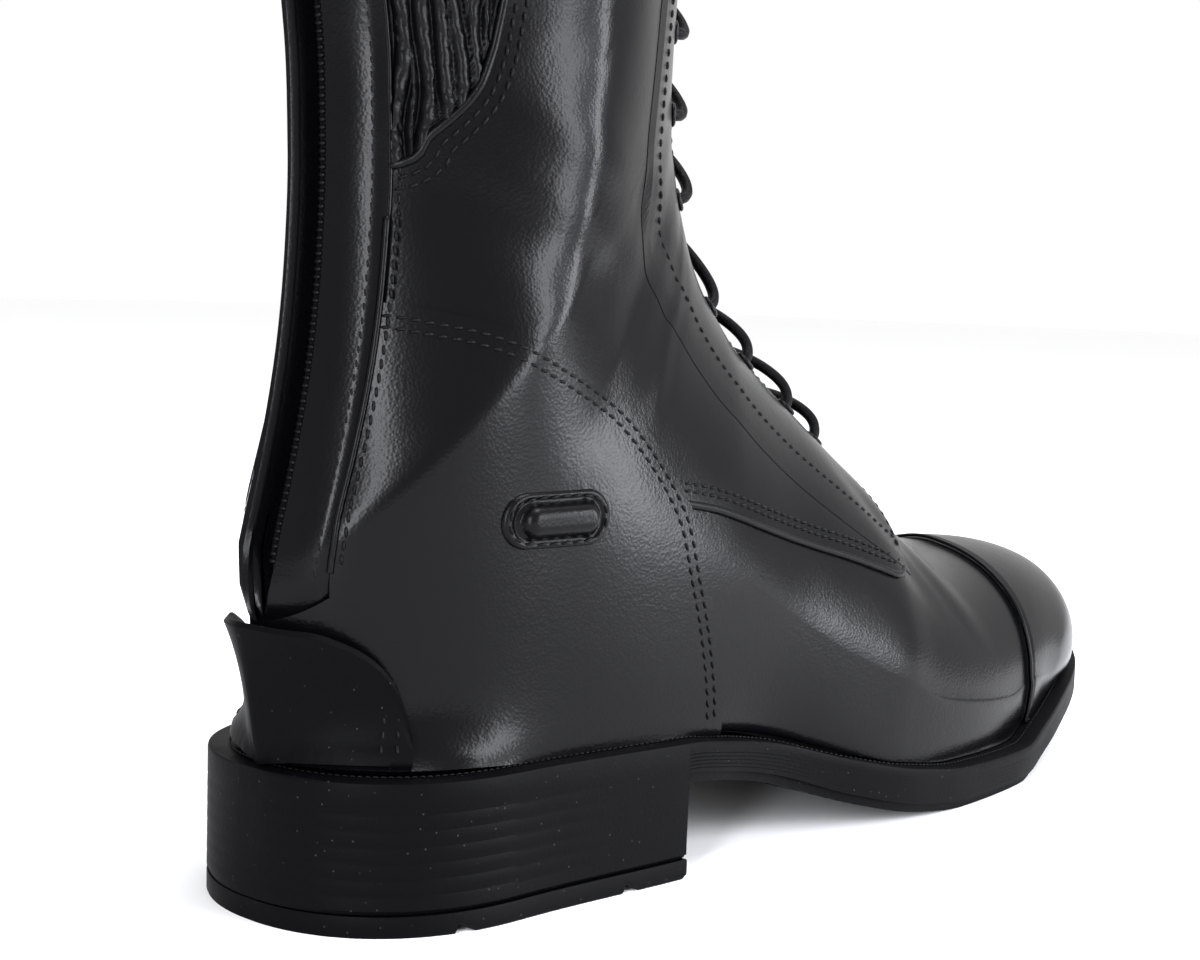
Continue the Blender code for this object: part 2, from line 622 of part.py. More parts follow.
def vamp_cutter():
    """Form that takes the vamp down one step below the quarters."""
    cells = block((-1, 0), (-EDGE, EDGE)) + block((0, BACK_ROW), (-EDGE - 1, EDGE + 1))
    deep = shell("vamp_step", cells, -VAMP_STEP, 0.0025, None)
    seat = ledge_height(0.0)
    under = seat - 0.4 * INSTEP_RISE
    counter = [(x - 0.0012, z) for x, z in seam_points(COUNTER_SEAM) if z < seat + 0.40 * INSTEP_RISE]
    quarter = [(x, z) for x, z in seam_points(QUARTER_SEAM) if x > counter[-1][0]]
    top = quarter[-1][1]
    ahead = SOLE_LENGTH + 0.02
    outline = [(counter[0][0], under)] + counter + quarter + [(ahead, top), (ahead, under)]
    side = side_prism("vamp_outline", outline, -BALL_WIDTH, BALL_WIDTH)
    carve(deep, side, "INTERSECT")
    return guide(deep)


def gusset_outline(margin):
    seat = ledge_height(0.0)
    top = seat + lift_height(GUSSET_EDGE[-1][1]) - margin
    points = [(x - margin, min(z + margin, top)) for x, z in seam_points(GUSSET_EDGE[:-1])]
    return points + [(points[0][0], top)]


def wall_depth(row, _):
    """Depth of the inner face: the wall is thinned where it turns in at the toe's feather line."""
    return -WALL * (0.4, 0.75, 1.0)[min(row, 2)]


def upper():
    """Hollow leather wall, open at collar, throat, zip slit and underneath."""
    throat = block(THROAT_ROWS, (-1, 1))
    cells = [cell for cell in block((0, LAST_ROW), (-EDGE, EDGE)) if cell not in throat]
    wall = shell("upper", cells, wall_depth, 0.0, LEATHER)
    pocket_cells = block((24, LAST_ROW), (-STAY_COLUMN, -4))
    pocket = shell("gusset_pocket", pocket_cells, -GUSSET_RECESS, 0.004, None)
    carve(pocket, side_prism("pocket_outline", gusset_outline(0.0), -CALF_WIDTH, 0.0), "INTERSECT")
    carve(wall, guide(pocket), "DIFFERENCE")
    carve(wall, vamp_cutter(), "DIFFERENCE")


def gusset():
    """Elastic panel in the outer side of the shaft, in front of the zip."""
    cells = block((24, LAST_ROW), (-STAY_COLUMN, -4))
    panel = shell("gusset", cells, GAP - GUSSET_RECESS, 2 * GAP, ELASTIC, 0.7, ((0, 1, -STAY_COLUMN),))
    carve(panel, side_prism("gusset_outline", gusset_outline(2 * GAP), -CALF_WIDTH, 0.0), "INTERSECT")


def tongue():
    low = -WALL - GAP - TONGUE_THICKNESS
    shell("tongue", block(TONGUE_ROWS, (-2, 2)), low, -WALL - GAP, LEATHER)


def toe_cap():
    cells = block((0, TOE_SEAM_ROW), (-EDGE, EDGE))
    shell("toe_cap", cells, GAP - VAMP_STEP, GAP - VAMP_STEP + OVERLAY, LEATHER, 0.3)


def counter():
    """Heel quarter that wraps the heel on both sides and laps over vamp and shaft."""
    cells = block((13, ZIP_ROW), (-EDGE, EDGE))
    cells += block((ZIP_ROW, 28), (-STAY_COLUMN, STAY_COLUMN))
    cells = [cell for cell in cells if not -5 <= cell[1] <= 4]
    outer = shell("counter", cells, GAP, GAP + OVERLAY, LEATHER, 0.35)
    seat = ledge_height(0.0)
    seam = seam_points(COUNTER_SEAM)
    behind = -0.03
    outline = seam + [(behind, seam[-1][1]), (behind, seat - 0.02), (seam[0][0], seat - 0.02)]
    carve(outer, side_prism("counter_outline", outline, -BALL_WIDTH, BALL_WIDTH), "INTERSECT")


def facing():
    """Eyelet facing round the throat, closed in front of it and above it."""
    throat = block(THROAT_ROWS, (-1, 1))
    cells = [cell for cell in block(FACING_ROWS, (-FACING_COLUMN, FACING_COLUMN)) if cell not in throat]
    shell("facing", cells, GAP, GAP + OVERLAY, LEATHER, 0.35)


def backstays():
    """Leather bands along both edges of the zip, and the guard that folds over its inner edge."""
    top = LAST_ROW
    height = GAP + BACKSTAY_THICKNESS
    outer = block((ZIP_ROW, top), (-EDGE, -STAY_COLUMN))
    inner = block((ZIP_ROW, top), (STAY_COLUMN, EDGE))
    low = (1, 0, ZIP_ROW)
    shell("backstay_outer", outer, GAP, height, LEATHER, 0.35, (low, (0, -1, -STAY_COLUMN)))
    shell("backstay_inner", inner, GAP, height, LEATHER, 0.35, (low, (0, 1, STAY_COLUMN)))
    ridge = block((ZIP_ROW, top), (EDGE - 1, EDGE))
    shell("zip_guard", ridge, height + GAP, height + FLAP_HEIGHT, LEATHER, 0.35, (low,))


def spur_rest():
    """Rubber rest round the back of the heel, with a lip that holds the spur up."""
    lift = GAP + OVERLAY + GAP

    def outer_face(row, column):
        back = fade(EDGE - abs(column), 0.0, 3.0)
        upper_edge = fade(abs(row - ZIP_ROW), 0.0, 2.0)
        return lift + SPUR_REST_THICKNESS + SPUR_REST_LIP * back * upper_edge

    cells = block((17, ZIP_ROW + 1), (-EDGE, EDGE))
    cells = [cell for cell in cells if not -8 <= cell[1] <= 7]
    rest = shell("spur_rest", cells, lift, outer_face, RUBBER, 0.6)
    seat = ledge_height(0.0)
    edge = seam_points(SPUR_REST_EDGE)
    outline = edge + [(edge[0][0], seat - 0.02)]
    carve(rest, side_prism("spur_rest_outline", outline, -BALL_WIDTH, BALL_WIDTH), "INTERSECT")


def stadium(centre, length, height, turns=6):
    """Side-view outline with two round ends, round a centre given as (x, z)."""
    radius = height / 2
    points = []
    for end, start in ((1, -90), (-1, 90)):
        for k in range(turns + 1):
            angle = math.radians(start + 180 * k / turns)
            points.append((centre[0] + end * (length / 2 - radius) + radius * math.cos(angle),
                           centre[1] + radius * math.sin(angle)))
    return points


def keeper():
    """Oval pad on the outer side of the heel quarter, with a raised bar that stops the spur strap."""
    centre = (KEEPER_PLACE[0] * SOLE_LENGTH, ledge_height(0.0) + KEEPER_PLACE[1] * INSTEP_RISE)
    low = 2 * GAP + OVERLAY
    cells = [cell for cell in block((16, ZIP_ROW + 5), (-EDGE, -2)) if cell[0] < ZIP_ROW or cell[1] > -STAY_COLUMN]
    sizes = (("keeper_pad", KEEPER_LENGTH, KEEPER_HEIGHT, low, low + KEEPER_THICKNESS),
             ("keeper_bar", KEEPER_BAR[0], KEEPER_BAR[1], low + KEEPER_THICKNESS + GAP,
              low + KEEPER_THICKNESS + KEEPER_BAR[2]))
    for name, length, height, inner, outer in sizes:
        pad = shell(name, cells, inner, outer, LEATHER, 0.35)
        outline = stadium(centre, length, height)
        carve(pad, side_prism(name + "_outline", outline, -BALL_WIDTH, 0.0), "INTERSECT")


def surface_frame(spot, side, half):
    """Point of the upper by the throat, with its outward normal and the direction up the throat."""
    point = front_point(spot, side, half)
    up = front_point(spot + 0.2, side, half) - front_point(spot - 0.2, side, half)
    across = front_point(spot, side, half + 0.002) - front_point(spot, side, half - 0.002)
    normal = np.cross(up, across) * side
    normal /= np.linalg.norm(normal)
    return point, -normal if normal[0] < 0 else normal, up / np.linalg.norm(up)


def eyelet(name, spot, side):
    """Rolled metal rim of a lace hole, lying on the facing."""
    point, normal, up = surface_frame(spot, side, EYELET_SPREAD)
    across = np.cross(normal, up)
    base = GAP + OVERLAY + EYELET_SEAT
    hole = EYELET_RADIUS - 2 * EYELET_WIRE
    profile = ((hole, base), (EYELET_RADIUS, base), (EYELET_RADIUS - EYELET_WIRE, base + EYELET_WIRE))
    turns = 9
    verts = []
    for k in range(turns):
        angle = 2 * math.pi * k / turns
        outward = up * math.cos(angle) + across * math.sin(angle)
        verts += [tuple(point + outward * radius + normal * height) for radius, height in profile]
    faces = []
    for k in range(turns):
        here, there = 3 * k, 3 * ((k + 1) % turns)
        faces += [[here + i, here + (i + 1) % 3, there + (i + 1) % 3, there + i] for i in range(3)]
    add_object(name, verts, faces, METAL, 0.3, 1.0)


def eyelets():
    for number, spot in enumerate(LACE_SECTIONS, start=1):
        eyelet("eyelet_outer_%d" % number, spot, -1)
        eyelet("eyelet_inner_%d" % number, spot, 1)


def lace_bar(name, spot):
    """Round cord arched over the tongue from one eyelet to the other."""
    rest = GAP + OVERLAY + EYELET_SEAT + EYELET_WIRE + GAP + LACE_DIAMETER / 2
    outer, inner = (surface_frame(spot, side, EYELET_SPREAD) for side in (-1, 1))
    start = outer[0] + outer[1] * rest
    finish = inner[0] + inner[1] * rest
    ridge, outward, _ = surface_frame(spot, 1, THROAT_HALF)
    outward[1] = 0.0
    outward /= np.linalg.norm(outward)
    arch = (ridge - (start + finish) / 2) @ outward + LACE_ARCH
    curve = bpy.data.curves.new(name, "CURVE")
    curve.dimensions = "3D"
    curve.bevel_depth = LACE_DIAMETER / 2
    curve.bevel_resolution = 2
    curve.use_fill_caps = True
    turns = [math.pi * k / LACE_POINTS for k in range(LACE_POINTS + 1)]
    points = [(start + finish) / 2 - (finish - start) / 2 * math.cos(turn) + outward * arch * math.sin(turn)
              for turn in turns]
    spline = curve.splines.new("POLY")
    spline.points.add(len(points) - 1)
    for knot, point in zip(spline.points, points):
        knot.co = (*place(*point), 1.0)
    add_curve(name, curve, LEATHER, 0.6)


def lace():
    for number, spot in enumerate(LACE_SECTIONS, start=1):
        lace_bar("lace_bar_%d" % number, spot)


def collar_binding():
    """Folded strip over the top edge of the upper, open where the zip is."""
    high = GAP + BINDING_THICKNESS
    rise = np.array((0.0, 0.0, high))
    gap_up = np.array((0.0, 0.0, GAP))
    rings = []
    for column in range(-STAY_COLUMN, STAY_COLUMN + 1):
        low, top = (GRID[row, column + EDGE] for row in (COLLAR_ROW, LAST_ROW))
        if abs(column) == STAY_COLUMN:
            inwards = GRID[LAST_ROW, EDGE + (column - 1 if column > 0 else column + 1)] - top
            inwards *= 2 * GAP / np.linalg.norm(inwards)
            low, top = low + inwards, top + inwards
        low_out, top_out = (NORMALS[row, column + EDGE] for row in (COLLAR_ROW, LAST_ROW))
        ring = [low + low_out * high, top + top_out * high + rise, top - top_out * (WALL + high) + rise,
                low - low_out * (WALL + high), low - low_out * (WALL + GAP),
                top - top_out * (WALL + GAP) + gap_up, top + top_out * GAP + gap_up, low + low_out * GAP]
        rings.append([tuple(point) for point in ring])
    loft("collar_binding", rings, LEATHER, 0.35)


def back_frame(row):
    """Back point of a row above the zip's lower end, with its outward normal in the middle plane."""
    x, _, z = GRID[row, 0]
    normal = NORMALS[row, 0] + NORMALS[row, -1]
    normal[1] = 0.0
    return np.array((x, 0.0, z)), normal / np.linalg.norm(normal)


def zip_parts():
    """Tape behind the slit and the closed chain of coils in it."""
    tape = []
    for row in range(ZIP_ROW, LAST_ROW + 1):
        ring = []
        for depth, columns in ((WALL + GAP, (0, 1, -2, -1)), (WALL + GAP + ZIP_TAPE_THICKNESS, (-1, -2, 1, 0))):
            order = (1, 0, -1, -2) if depth == WALL + GAP else (-2, -1, 0, 1)
            ring += [tuple(GRID[row, column] - NORMALS[row, column] * depth) for column in order]
        tape.append(ring)
    loft("zip_tape", tape, ELASTIC, 0.8)
    chain = []
    stations = [(ZIP_ROW, 0.3), (ZIP_ROW, 0.8)] + [(row, 0.0) for row in range(ZIP_ROW + 1, LAST_ROW + 1)]
    for row, part_way in stations:
        point, normal = back_frame(row)
        if part_way:
            further, _ = back_frame(row + 1)
            point = point + (further - point) * part_way
        open_half = ZIP_HALF_GAP * (part_way if part_way else 1.0)
        half = min(ZIP_CHAIN_WIDTH / 2, open_half - 2 * GAP)
        low, high = GAP - WALL, GAP - WALL + ZIP_CHAIN_HEIGHT
        chain.append([tuple(point + normal * height + np.array((0.0, y, 0.0)))
                      for y, height in ((-half, low), (-half, high), (half, high), (half, low))])
    loft("zip_chain", chain, METAL, 0.4)


def zip_slider():
    """Slider at the top of the zip with two ears and a pin, and the pull tab that swings on it."""
    point, normal = back_frame(COLLAR_ROW)
    above, _ = back_frame(LAST_ROW)
    up = (above - point) / np.linalg.norm(above - point)
    out = np.array((up[2], 0.0, -up[0]))
    if out @ normal < 0:
        out = -out
    floor = GAP * 3 - WALL + ZIP_CHAIN_HEIGHT
    centre = point + out * floor

    def prism(name, profile, low, high, colour=METAL):
        ring = [centre + up * along + out * height for along, height in profile]
        rings = [[tuple(knot + np.array((0.0, y, 0.0))) for knot in ring] for y in (low, high)]
        return loft(name, rings, colour, 0.3)

    half = SLIDER_LENGTH / 2
    edge = SLIDER_HEIGHT * 0.3
    base = [(-half, 0.0), (-half, SLIDER_HEIGHT - edge), (-half + edge, SLIDER_HEIGHT),
            (half - edge, SLIDER_HEIGHT), (half, SLIDER_HEIGHT - edge), (half, 0.0)]
    wide = SLIDER_WIDTH / 2
    body = prism("zip_slider", base, -wide, wide)
    hinge = SLIDER_HEIGHT + HINGE_RISE
    ear = [(-1.6 * HINGE_RISE, SLIDER_HEIGHT / 2), (1.6 * HINGE_RISE, SLIDER_HEIGHT / 2),
           (0.7 * HINGE_RISE, hinge + 0.7 * HINGE_RISE), (-0.7 * HINGE_RISE, hinge + 0.7 * HINGE_RISE)]
    for name, low, high in (("ear_low", -wide, EAR_THICKNESS - wide), ("ear_high", wide - EAR_THICKNESS, wide)):
        carve(body, guide(prism(name, ear, low, high, None)), "UNION")
    turn = [2 * math.pi * k / 12 for k in range(12)]
    pin = [(HINGE_RADIUS * math.cos(a), hinge + HINGE_RADIUS * math.sin(a)) for a in turn]
    carve(body, guide(prism("hinge_pin", pin, 0.5 * EAR_THICKNESS - wide, wide - 0.5 * EAR_THICKNESS, None)),
          "UNION")
    inner = HINGE_RADIUS + HINGE_CLEARANCE
    outer = inner + PULL_THICKNESS * 0.6
    pull_half = wide - EAR_THICKNESS - HINGE_CLEARANCE
    count = 12
    tip = (5, 6, 7)
    eye = []
    rim = []
    for k in range(count):
        angle = 2 * math.pi * k / count
        eye.append((inner * math.cos(angle), hinge + inner * math.sin(angle)))
        if k == tip[1]:
            rim.append((-PULL_LENGTH, hinge))
        elif k in tip:
            rim.append((-PULL_LENGTH + SOLE_BEVEL, hinge + math.copysign(PULL_THICKNESS / 2, math.sin(angle))))
        else:
            rim.append((outer * math.cos(angle), hinge + outer * math.sin(angle)))
    verts = []
    for y in (-pull_half, pull_half):
        for ring in (eye, rim):
            verts += [tuple(centre + up * along + out * height + np.array((0.0, y, 0.0)))
                      for along, height in ring]
    faces = []
    for k in range(count):
        after = (k + 1) % count
        faces += [[k, after, count + after, count + k],
                  [2 * count + k, 3 * count + k, 3 * count + after, 2 * count + after],
                  [k, 2 * count + k, 2 * count + after, after],
                  [count + k, count + after, 3 * count + after, 3 * count + k]]
    add_object("zip_pull", verts, faces, METAL, 0.3, 1.0)


for thing in list(bpy.data.objects):
    bpy.data.objects.remove(thing, do_unlink=True)

outsole()
heel_top_lift()
insole()
upper()
tongue()
toe_cap()
counter()
facing()
gusset()
backstays()
spur_rest()
keeper()
collar_binding()
zip_parts()
zip_slider()
eyelets()
lace()
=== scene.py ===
import math

import bpy
import numpy as np
from mathutils import Matrix, Vector
from mathutils.bvhtree import BVHTree
from mathutils.interpolate import poly_3d_calc


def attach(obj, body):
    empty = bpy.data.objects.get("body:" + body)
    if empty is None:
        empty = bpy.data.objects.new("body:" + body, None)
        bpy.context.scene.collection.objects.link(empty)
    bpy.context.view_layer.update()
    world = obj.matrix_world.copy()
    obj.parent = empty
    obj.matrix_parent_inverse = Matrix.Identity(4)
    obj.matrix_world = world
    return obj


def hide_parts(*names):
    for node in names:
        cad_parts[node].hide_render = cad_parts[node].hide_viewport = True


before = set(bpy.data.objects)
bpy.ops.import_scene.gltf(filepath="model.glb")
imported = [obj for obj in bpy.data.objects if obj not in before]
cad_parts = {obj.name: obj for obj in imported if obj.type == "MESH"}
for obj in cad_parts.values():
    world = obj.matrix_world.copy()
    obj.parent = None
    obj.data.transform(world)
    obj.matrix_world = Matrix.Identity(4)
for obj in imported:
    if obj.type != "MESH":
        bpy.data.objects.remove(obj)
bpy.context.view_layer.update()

# Camera: it stands low behind the outer side of the heel, close to the boot, and leans a little,
# so that the top of the shaft runs out of the picture.
CAMERA_PLACE = (-0.27614, -0.30371, 0.12469)
FOCAL_LENGTH = 60.32
SENSOR_WIDTH = 36.0
heading = math.radians(47.53)
tilt = math.radians(-5.68)
lean = math.radians(1.607)
ahead = Vector((math.sin(heading) * math.cos(tilt), math.cos(heading) * math.cos(tilt), math.sin(tilt)))
level = Vector((math.cos(heading), -math.sin(heading), 0.0))
upright = level.cross(ahead)
across_picture = level * math.cos(lean) + upright * math.sin(lean)
up_picture = upright * math.cos(lean) - level * math.sin(lean)
lens = bpy.data.cameras.new("camera")
lens.sensor_fit = "HORIZONTAL"
lens.sensor_width = SENSOR_WIDTH
lens.lens = FOCAL_LENGTH
lens.clip_start = 0.01
lens.clip_end = 50.0
camera = bpy.data.objects.new("camera", lens)
camera.matrix_world = Matrix.Translation(CAMERA_PLACE) @ Matrix(
    (across_picture, up_picture, -ahead)).transposed().to_4x4()
bpy.context.scene.collection.objects.link(camera)
bpy.context.scene.camera = camera

# Studio: a plain white floor under the sole, white all round, and tall soft boxes on both sides
# of the camera, which draw the long highlights down the leather.
FLOOR_HALF = 6.0
floor_mesh = bpy.data.meshes.new("floor")
floor_mesh.from_pydata([(x * FLOOR_HALF, y * FLOOR_HALF, 0.0) for x, y in ((-1, -1), (1, -1), (1, 1), (-1, 1))],
                       [], [(0, 1, 2, 3)])
floor = bpy.data.objects.new("floor", floor_mesh)
bpy.context.scene.collection.objects.link(floor)
pale_floor = bpy.data.materials.new("pale_floor")
pale_floor.use_nodes = True
floor_shader = pale_floor.node_tree.nodes["Principled BSDF"]
floor_shader.inputs["Base Color"].default_value = (0.97, 0.97, 0.975, 1.0)
floor_shader.inputs["Roughness"].default_value = 0.9
floor_shader.inputs["Specular IOR Level"].default_value = 0.1
floor_mesh.materials.append(pale_floor)

studio = bpy.data.worlds.new("studio")
studio.use_nodes = True
sky = studio.node_tree.nodes["Background"].inputs
sky["Color"].default_value = (1.0, 1.0, 1.0, 1.0)
sky["Strength"].default_value = 1.0
bpy.context.scene.world = studio
bpy.context.scene.view_settings.view_transform = "Standard"

AIM = Vector((0.03, 0.0, 0.16))
LAMP_COLOUR = (0.93, 0.94, 1.0)


def soft_box(name, place, width, height, watts):
    lamp = bpy.data.lights.new(name, "AREA")
    lamp.shape = "RECTANGLE"
    lamp.size = width
    lamp.size_y = height
    lamp.energy = watts
    lamp.color = LAMP_COLOUR
    box = bpy.data.objects.new(name, lamp)
    box.location = place
    box.rotation_euler = (AIM - box.location).to_track_quat("-Z", "Y").to_euler()
    bpy.context.scene.collection.objects.link(box)


for name, place, width, height, watts in (
    ("box_counter", (0.39, -1.25, 0.34), 0.24, 0.9, 20),
    ("box_shaft", (0.86, -1.00, 0.24), 0.20, 1.2, 28),
    ("box_left", (-1.25, -0.62, 0.35), 0.20, 1.1, 26),
    ("box_above", (0.25, -0.25, 1.45), 0.8, 0.6, 22),
):
    soft_box(name, place, width, height, watts)

# Sole unit: one moulding of black rubber with a flat ledge round the upper and a square heel, which
# has a few faint stack lines round its back.
SOLE_LENGTH = 0.290
HEEL_WIDTH = 0.073
BALL_WIDTH = 0.096
HEEL_LENGTH = 0.0836
HEEL_RISE = 0.0205
SOLE_THICKNESS = 0.0096
TOE_SPRING = 0.0175
HEEL_ROUND = 0.040
TOE_ROUND = 0.065
ROUND_POWER = 2.2
HEEL_CENTRE = HEEL_LENGTH / 2
LIFT_THICKNESS = 0.0042
LIFT_GAP = 0.0003
SOLE_BEVEL = 0.0008
TREAD_HEIGHT = 0.0022
TREAD_INSET = 0.0016
STACK_LINES = 6
STACK_DEPTH = 0.00022
RUBBER_BLACK = (0.0012, 0.0012, 0.0016)
SURFACE_GLOSS = 0.10

OUTLINE = np.array([
    # along, ball, outer, inner
    (0.00, 0.0, 1.00, 1.00),
    (0.12, 0.0, 1.00, 1.00),
    (0.28, 0.2, 1.04, 0.92),
    (0.40, 0.5, 0.92, 0.74),
    (0.55, 0.8, 1.06, 0.88),
    (0.70, 1.0, 0.985, 0.98),
    (0.85, 1.0, 0.79, 0.90),
    (1.00, 1.0, 0.63, 0.72),
])

# Side view of the sole: heel rise, toe spring and thickness as shares of the named sizes.
PROFILE = np.array([
    # along, rise, spring, thickness
    (0.00, 1.04, 0.00, 0.905),
    (0.29, 0.99, 0.00, 0.915),
    (0.34, 0.89, 0.00, 0.93),
    (0.40, 0.70, 0.00, 0.99),
    (0.48, 0.33, 0.00, 1.09),
    (0.55, 0.10, 0.00, 1.12),
    (0.62, 0.00, 0.00, 1.07),
    (0.70, 0.00, 0.00, 1.00),
    (0.73, 0.00, 0.00, 0.99),
    (0.776, 0.00, 0.21, 0.97),
    (0.85, 0.00, 0.52, 0.95),
    (0.93, 0.00, 0.783, 0.885),
    (1.00, 0.00, 1.00, 0.79),
])


def smooth_along(table, column, place):
    """Value of a table's column at a place in its first column, with no overshoot between rows."""
    xs = table[:, 0]
    ys = table[:, column]
    steps = np.diff(xs)
    slopes = np.diff(ys) / steps
    tangents = np.zeros(len(xs))
    for k in range(1, len(xs) - 1):
        if slopes[k - 1] * slopes[k] > 0:
            before = 2 * steps[k] + steps[k - 1]
            after = steps[k] + 2 * steps[k - 1]
            tangents[k] = (before + after) / (before / slopes[k - 1] + after / slopes[k])
    tangents[0] = slopes[0]
    tangents[-1] = slopes[-1]
    place = min(max(place, xs[0]), xs[-1])
    k = min(int(np.searchsorted(xs, place, side="right")) - 1, len(xs) - 2)
    t = (place - xs[k]) / steps[k]
    start = ys[k] * (1 + 2 * t) * (1 - t) ** 2 + tangents[k] * steps[k] * t * (1 - t) ** 2
    end = ys[k + 1] * t * t * (3 - 2 * t) + tangents[k + 1] * steps[k] * t * t * (t - 1)
    return start + end


def round_end(distance, length):
    t = min(max(distance / length, 0.0), 1.0)
    return (1 - (1 - t) ** ROUND_POWER) ** (1 / ROUND_POWER)


def half_width(x, side, inset=0.0):
    """Half width of the sole, x measured from its back; side is -1 outside and 1 inside."""
    along = x / SOLE_LENGTH
    ball = smooth_along(OUTLINE, 1, along)
    width = HEEL_WIDTH * (1 - ball) + BALL_WIDTH * ball
    share = smooth_along(OUTLINE, 2 if side < 0 else 3, along)
    return ((share * width / 2 - inset) * round_end(x - inset, HEEL_ROUND - inset)
            * round_end(SOLE_LENGTH - inset - x, TOE_ROUND - inset))


def underside(x):
    along = x / SOLE_LENGTH
    return HEEL_RISE * smooth_along(PROFILE, 1, along) + TOE_SPRING * smooth_along(PROFILE, 2, along)


def ledge_height(x):
    return underside(x) + SOLE_THICKNESS * smooth_along(PROFILE, 3, x / SOLE_LENGTH)


def fade(value, start, finish):
    t = min(max((value - start) / (finish - start), 0.0), 1.0)
    return 1 - t * t * (3 - 2 * t)


def link_noise(nodes, links, scale, detail=2.0):
    where = nodes.new("ShaderNodeTexCoord")
    noise = nodes.new("ShaderNodeTexNoise")
    noise.inputs["Scale"].default_value = scale
    noise.inputs["Detail"].default_value = detail
    links.new(where.outputs["Object"], noise.inputs["Vector"])
    return noise


def link_cells(nodes, links, scale):
    """Round cells set close together, as pores, braid and specks are."""
    where = nodes.new("ShaderNodeTexCoord")
    cells = nodes.new("ShaderNodeTexVoronoi")
    cells.inputs["Scale"].default_value = scale
    links.new(where.outputs["Object"], cells.inputs["Vector"])
    return cells


def spread(nodes, links, source, low, high):
    band = nodes.new("ShaderNodeMapRange")
    band.inputs["To Min"].default_value = low
    band.inputs["To Max"].default_value = high
    links.new(source, band.inputs["Value"])
    return band.outputs["Result"]


def raise_bump(nodes, links, shader, height, depth, strength=1.0):
    bump = nodes.new("ShaderNodeBump")
    bump.inputs["Distance"].default_value = depth
    bump.inputs["Strength"].default_value = strength
    links.new(height, bump.inputs["Height"])
    previous = shader.inputs["Normal"].links
    if previous:
        links.new(previous[0].from_socket, bump.inputs["Normal"])
    links.new(bump.outputs["Normal"], shader.inputs["Normal"])


def bare_finish(name, colour, roughness, metallic=0.0, specular=SURFACE_GLOSS):
    finish = bpy.data.materials.new(name)
    finish.use_nodes = True
    shader = finish.node_tree.nodes["Principled BSDF"]
    shader.inputs["Base Color"].default_value = (*colour, 1.0)
    shader.inputs["Roughness"].default_value = roughness
    shader.inputs["Metallic"].default_value = metallic
    shader.inputs["Specular IOR Level"].default_value = specular
    return finish, shader, finish.node_tree.nodes, finish.node_tree.links


def build(name, verts, faces, finish, sharp=40):
    mesh = bpy.data.meshes.new(name)
    mesh.from_pydata([tuple(v) for v in verts], [], [tuple(int(k) for k in f) for f in faces])
    mesh.update()
    mesh.shade_smooth()
    if sharp:
        mesh.set_sharp_from_angle(angle=math.radians(sharp))
    piece = bpy.data.objects.new(name, mesh)
    bpy.context.scene.collection.objects.link(piece)
    if finish is not None:
        mesh.materials.append(finish)
    return piece


def fasten(piece, *nodes):
    """Let a piece move with the boot and stand for the solids under it."""
    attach(piece, "boot")
    if nodes:
        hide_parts(*nodes)
    return piece


sole_rubber, sole_shader, sole_nodes, sole_links = bare_finish("sole_rubber", RUBBER_BLACK, 0.5, 0.0, 0.035)
sole_patches = link_noise(sole_nodes, sole_links, 60.0, 4.0)
sole_dulled = spread(sole_nodes, sole_links, sole_patches.outputs["Fac"], 0.42, 0.6)
sole_links.new(sole_dulled, sole_shader.inputs["Roughness"])
sole_skin = link_noise(sole_nodes, sole_links, 1400.0, 3.0)
raise_bump(sole_nodes, sole_links, sole_shader, sole_skin.outputs["Fac"], 0.00005)
sole_waves = link_noise(sole_nodes, sole_links, 120.0, 2.0)
raise_bump(sole_nodes, sole_links, sole_shader, sole_waves.outputs["Fac"], 0.0002, 0.4)
specks = link_cells(sole_nodes, sole_links, 420.0)
speck_ramp = sole_nodes.new("ShaderNodeValToRGB")
speck_ramp.color_ramp.elements[0].position = 0.05
speck_ramp.color_ramp.elements[0].color = (0.02, 0.02, 0.022, 1.0)
speck_ramp.color_ramp.elements[1].position = 0.10
speck_ramp.color_ramp.elements[1].color = (*RUBBER_BLACK, 1.0)
sole_links.new(specks.outputs["Distance"], speck_ramp.inputs["Fac"])
sole_links.new(speck_ramp.outputs["Color"], sole_shader.inputs["Base Color"])


def cross_ring(x, profile):
    outer = [(x - HEEL_CENTRE, -max(half_width(x, -1) - inset, 0.0004), z) for inset, z in profile]
    inner = [(x - HEEL_CENTRE, max(half_width(x, 1) - inset, 0.0004), z) for inset, z in profile]
    return outer + inner[::-1]


def loft(name, rings, finish, sharp=40):
    size = len(rings[0])
    verts = [point for ring in rings for point in ring]
    faces = [(row * size + k, row * size + (k + 1) % size, (row + 1) * size + (k + 1) % size, (row + 1) * size + k)
             for row in range(len(rings) - 1) for k in range(size)]
    faces.append(tuple(reversed(range(size))))
    faces.append(tuple((len(rings) - 1) * size + k for k in range(size)))
    return build(name, verts, faces, finish, sharp)


def heel_places(inset=0.0, count=26):
    return [inset + (HEEL_ROUND - inset) * (1 - math.cos(math.pi / 2 * k / count)) for k in range(1, count + 1)]


def toe_places(inset=0.0, count=30):
    length = TOE_ROUND - inset
    return [SOLE_LENGTH - inset - length * (1 - math.cos(math.pi / 2 * k / count)) for k in range(count, 0, -1)]


